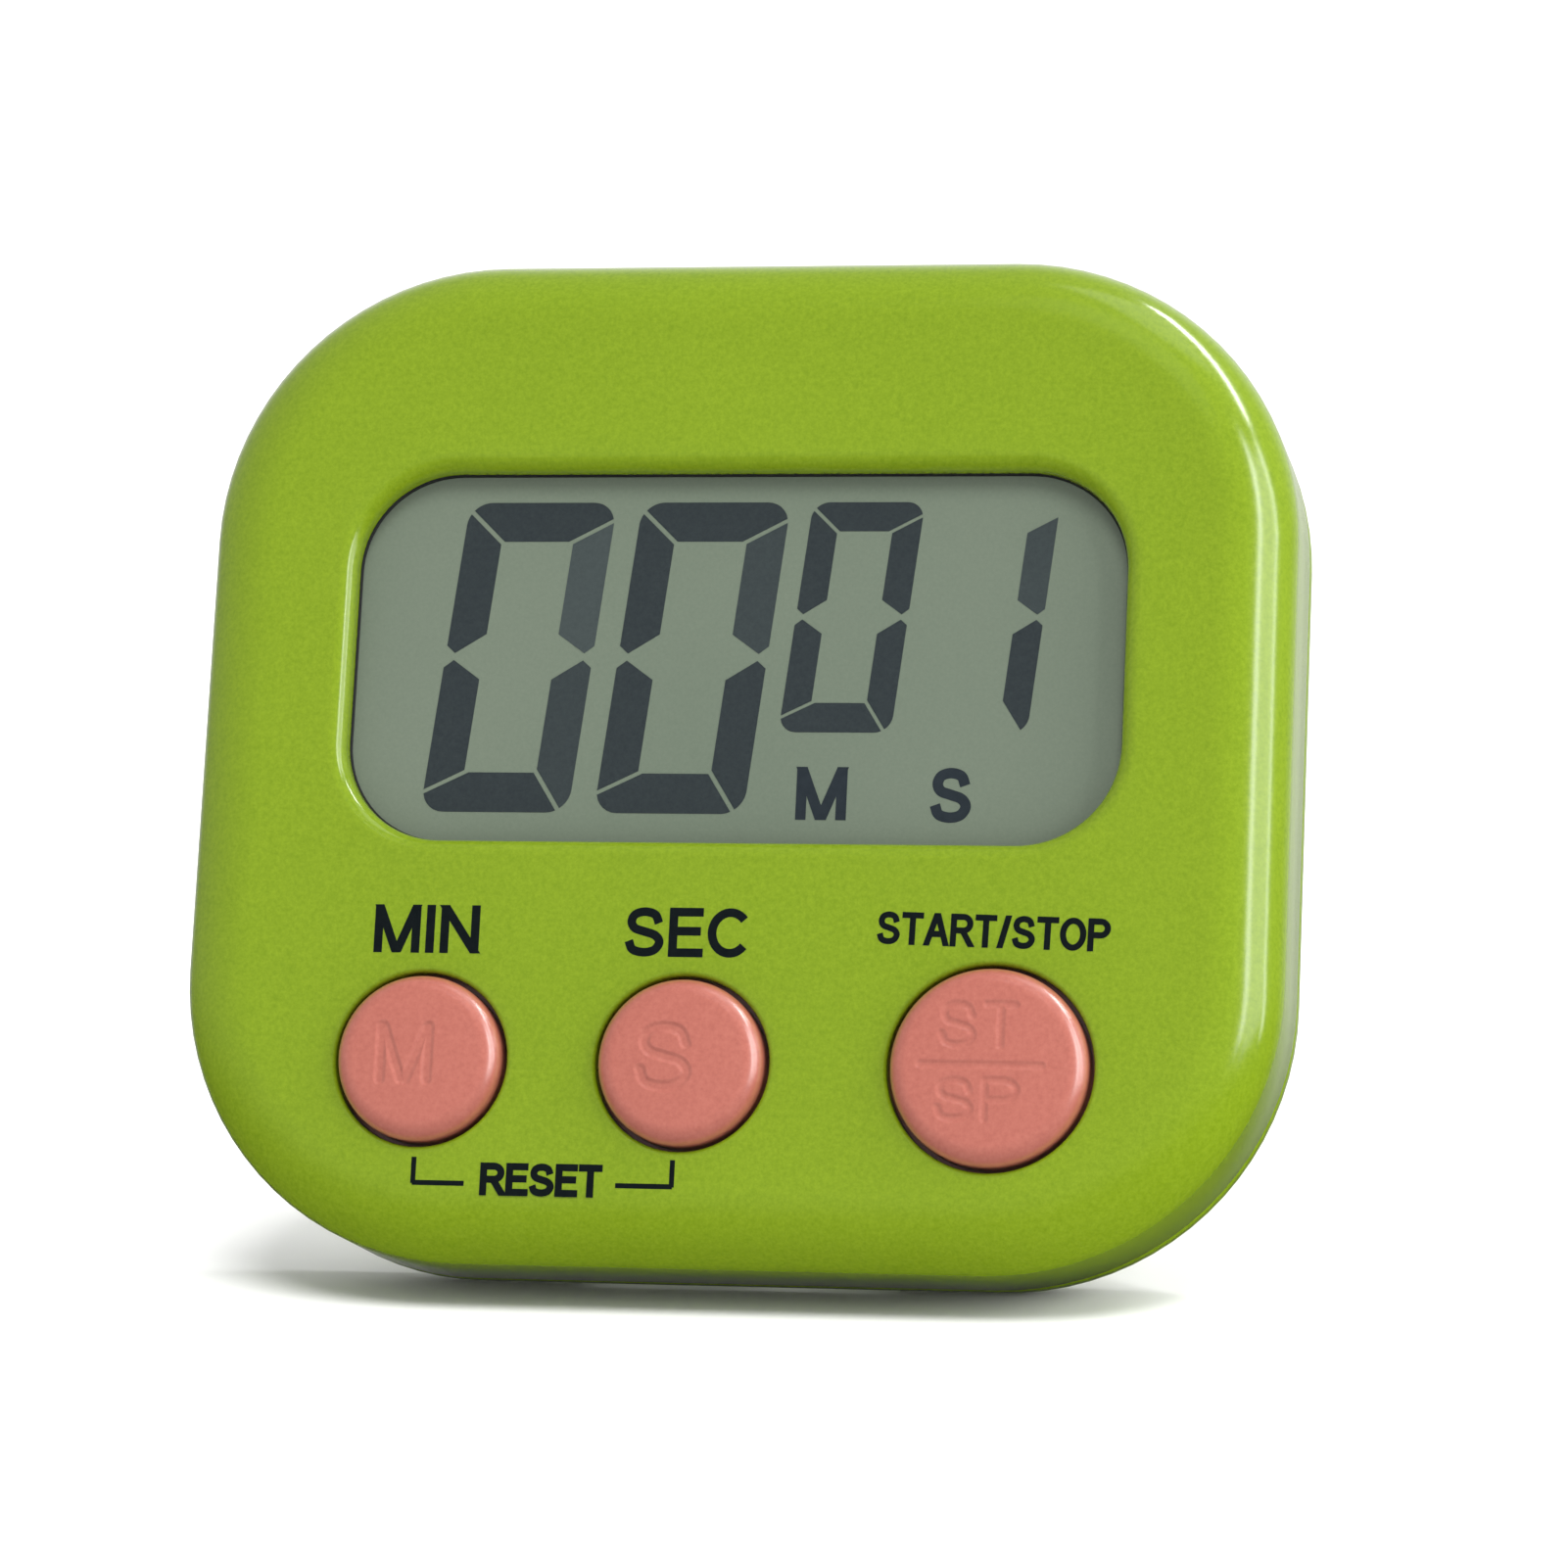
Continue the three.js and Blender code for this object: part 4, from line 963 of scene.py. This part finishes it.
joint = {item["name"]: item for item in frame["record"]["behaviour"]["joints"]}["kickstand_fold"]
OPEN = np.radians(joint["range_deg"][1])
PIVOT = (AXES @ (np.array(joint["pos_m"]) - FACE_CENTRE) / MM)[1:]
STAND_HALF, STAND_SOFT = 1.0, 0.35
PIN_RADIUS, PIN_REACH, PIN_ROOT, PIN_EDGE = 0.7, 1.2, 0.2, 0.15
RIBS, RIB_PITCH, RIB_HEIGHT, FIRST_RIB = 5, 1.4, 0.14, 1.5
LEG = (PIVOT[1] - STAND_HALF - extent("kickstand")[0][2]) / np.sin(OPEN)


def opened(points):
    """Carries (along the leg, through it, across) to the case's frame, with the leg swung open."""
    along, through, across = points.T
    return np.stack([across, PIVOT[0] + along * np.cos(OPEN) - through * np.sin(OPEN),
                     PIVOT[1] + along * np.sin(OPEN) + through * np.cos(OPEN)], 1)


def leg_outline(offset):
    """The leg seen from its side, offset inwards: two straight faces between two round ends. Ribs stand
    on its outer face near the foot, as the square of a sine."""
    half = STAND_HALF - offset
    face = np.linspace(-LEG, 0, 160)
    phase = np.clip((face + LEG - FIRST_RIB) / RIB_PITCH, 0, RIBS)
    ribs = RIB_HEIGHT * np.sin(np.pi * phase) ** 2 * (phase < RIBS)
    outer = np.stack([face, -half - ribs], 1)
    inner = np.stack([face[::-1], np.full(len(face), half)], 1)
    return np.concatenate([outer, arc(0, 0, half, half, -90, 90, 16)[1:-1], inner,
                           arc(-LEG, 0, half, half, 90, 270, 16)[1:-1]])


leg = Surface(opened)
leg_profile = rounding((STAND_SOFT, STAND_WIDTH / 2), (0, STAND_WIDTH / 2 - STAND_SOFT), 5)
leg.sweep(leg_outline, np.concatenate([leg_profile, (leg_profile * (1, -1))[::-1]]))
leg.fill(leg_outline(STAND_SOFT), [], STAND_WIDTH / 2)
leg.fill(leg_outline(STAND_SOFT), [], -STAND_WIDTH / 2)
for side in (-1, 1):
    start, end = side * (STAND_WIDTH / 2 - PIN_ROOT), side * (STAND_WIDTH / 2 + PIN_REACH)
    leg.turn((0, 0), [(0, start), (PIN_RADIUS, start), (PIN_RADIUS, end - side * PIN_EDGE),
                      (PIN_RADIUS - PIN_EDGE, end), (0, end)], 40)
kickstand = leg.mesh("kickstand_leg", green_plastic, "stand")
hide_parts("kickstand")


# ---- Camera, light and table ---------------------------------------------------------------------
# The camera stands about a third of a metre away, a little to the right of the display and below its
# axis, so the leaning timer is seen almost level. The light is a plain soft studio.

VIEW_RIGHT, VIEW_BELOW, VIEW_DISTANCE, VIEW_ROLL = 11.95, 11.98, 330.6, 2.75
FOCAL_LENGTH, SENSOR_WIDTH = 134.9, 36
AIM = np.array([3.33, -2.07, 0.0])

yaw, pitch, roll = np.radians([VIEW_RIGHT, VIEW_BELOW, VIEW_ROLL])
eye = VIEW_DISTANCE * np.array([np.sin(yaw) * np.cos(pitch), -np.sin(pitch), np.cos(yaw) * np.cos(pitch)])
ahead = (AIM - eye) / np.linalg.norm(AIM - eye)
level = np.cross(ahead, (0, 1, 0))
level /= np.linalg.norm(level)
above = np.cross(level, ahead)
level, above = level * np.cos(roll) + above * np.sin(roll), above * np.cos(roll) - level * np.sin(roll)
turn = np.stack([level, above, -ahead]) @ AXES

camera = bpy.data.objects.new("camera", bpy.data.cameras.new("camera"))
camera.data.lens = FOCAL_LENGTH
camera.data.sensor_width = SENSOR_WIDTH
camera.data.clip_start = 0.01
camera.matrix_world = Matrix.LocRotScale(Vector(placed(eye)), Matrix(turn.T.tolist()).to_quaternion(), None)
bpy.context.collection.objects.link(camera)
bpy.context.scene.camera = camera

world = bpy.data.worlds.new("studio")
bpy.context.scene.world = world
world.use_nodes = True
sky = world.node_tree
heading = Field(add_node(sky, "ShaderNodeTexCoord", {}, {}).outputs["Generated"])
height = Field(add_node(sky, "ShaderNodeSeparateXYZ", {}, {0: heading}).outputs["Z"])
behind = Field(add_node(sky, "ShaderNodeSeparateXYZ", {}, {0: heading}).outputs["Y"])


def rise(value, start, end, low, high):
    """A smooth step of a field, from one level to another."""
    return Field(add_node(sky, "ShaderNodeMapRange", {"interpolation_type": "SMOOTHSTEP"}, {
        "Value": value, "From Min": start, "From Max": end, "To Min": low, "To Max": high}).outputs[0])


# The sky is brighter overhead and low behind the timer, and dark below the floor.
overhead = rise(height, -0.3, 0.35, 0.04, 0.5)
glow = overhead + rise(behind, 0.5, 0.97, 0.0, 0.65) * rise(height, -0.42, -0.1, 0.0, 1.0)
sky.links.new(glow.socket, sky.nodes["Background"].inputs["Strength"])
sky.nodes["Background"].inputs["Color"].default_value = (1, 1, 1, 1)


def bearing(azimuth, elevation):
    """The direction at an angle from the front towards the right, and at a height, in degrees."""
    across, up = np.radians([azimuth, elevation])
    return np.array([np.sin(across) * np.cos(up), -np.cos(across) * np.cos(up), np.sin(up)])


def hang(name, light, along, reach, distance):
    """Hangs a light in one direction from the timer, looking at it, with its length along another."""
    rig = bpy.data.objects.new(name, light)
    along = along / np.linalg.norm(along)
    axes = np.stack([along, np.cross(reach, along), reach])
    rig.matrix_world = Matrix.LocRotScale(
        Vector(placed((0, 0, 0)) + distance * reach), Matrix(axes.T.tolist()).to_quaternion(), None)
    rig.visible_camera = False
    bpy.context.collection.objects.link(rig)
    return rig


def strip_light(name, start, end, width, power, distance=1.2):
    """A long soft box that reaches from one bearing to another, as the timer sees it."""
    start, end = bearing(*start), bearing(*end)
    middle = (start + end) / np.linalg.norm(start + end)
    light = bpy.data.lights.new(name, "AREA")
    light.shape = "RECTANGLE"
    light.size = distance * np.linalg.norm(end - start) / np.dot(middle, start)
    light.size_y, light.energy = width, power
    return hang(name, light, end - start, middle, distance)


sun = bpy.data.lights.new("soft_sun", "SUN")
sun.angle, sun.energy = np.radians(26), 2.8
sun_direction = bearing(azimuth=12, elevation=60)
hang("soft_sun", sun, np.cross((0, 0, 1), sun_direction), sun_direction, 1.0).visible_glossy = False
strip_light("side_strip_near", start=(56, 6), end=(64, 45), width=0.13, power=4.0)
strip_light("side_strip_far", start=(90, -4), end=(87, 40), width=0.1, power=3.2)
strip_light("side_panel", start=(73, 0), end=(73, 40), width=0.5, power=5.0)
strip_light("high_strip", start=(92, 44), end=(149, 56), width=0.09, power=8.0)
strip_light("high_panel", start=(70, 64), end=(150, 74), width=0.5, power=1.3)

# The table is flat near the timer and rises slowly far away: its slope grows with the square root of
# the distance, and its height is the running sum of the slopes.
FLAT_REACH, SWEEP_REACH, SWEEP_RISE, SWEEP_ROWS = 1.2, 7.0, 24, 25
turns = np.radians(np.arange(0, 360, 5))
slope = np.radians(SWEEP_RISE) * np.linspace(0, 1, SWEEP_ROWS) ** 0.5
reaches = np.linspace(FLAT_REACH, SWEEP_REACH, SWEEP_ROWS)
heights = np.concatenate([[0], np.cumsum(np.diff(reaches) * np.tan((slope[1:] + slope[:-1]) / 2))])
rows = np.zeros((len(reaches) + 1, len(turns), 3))
rows[1:, :, 0] = reaches[:, None] * np.cos(turns)
rows[1:, :, 1] = reaches[:, None] * np.sin(turns)
rows[1:, :, 2] = heights[:, None]
index = np.arange(rows.shape[0] * rows.shape[1]).reshape(rows.shape[:2])
ahead_index = np.roll(index, -1, 1)
quads = np.stack([index[:-1], index[1:], ahead_index[1:], ahead_index[:-1]], -1).reshape(-1, 4)
table = bpy.data.objects.new("table", bpy.data.meshes.new("table"))
table.data.from_pydata(rows.reshape(-1, 3).tolist(), [], quads.tolist())
table.data.shade_smooth()
bpy.context.collection.objects.link(table)
paper = Finish("white_paper", {"Roughness": 0.9})
paper.drive("Base Color", paper.mix(paper.noise(30), (0.88, 0.88, 0.88), (0.91, 0.91, 0.91)))
table.data.materials.append(paper.material)
table.visible_glossy = False
table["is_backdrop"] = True

bpy.context.scene.view_settings.view_transform = "Standard"

low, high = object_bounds()
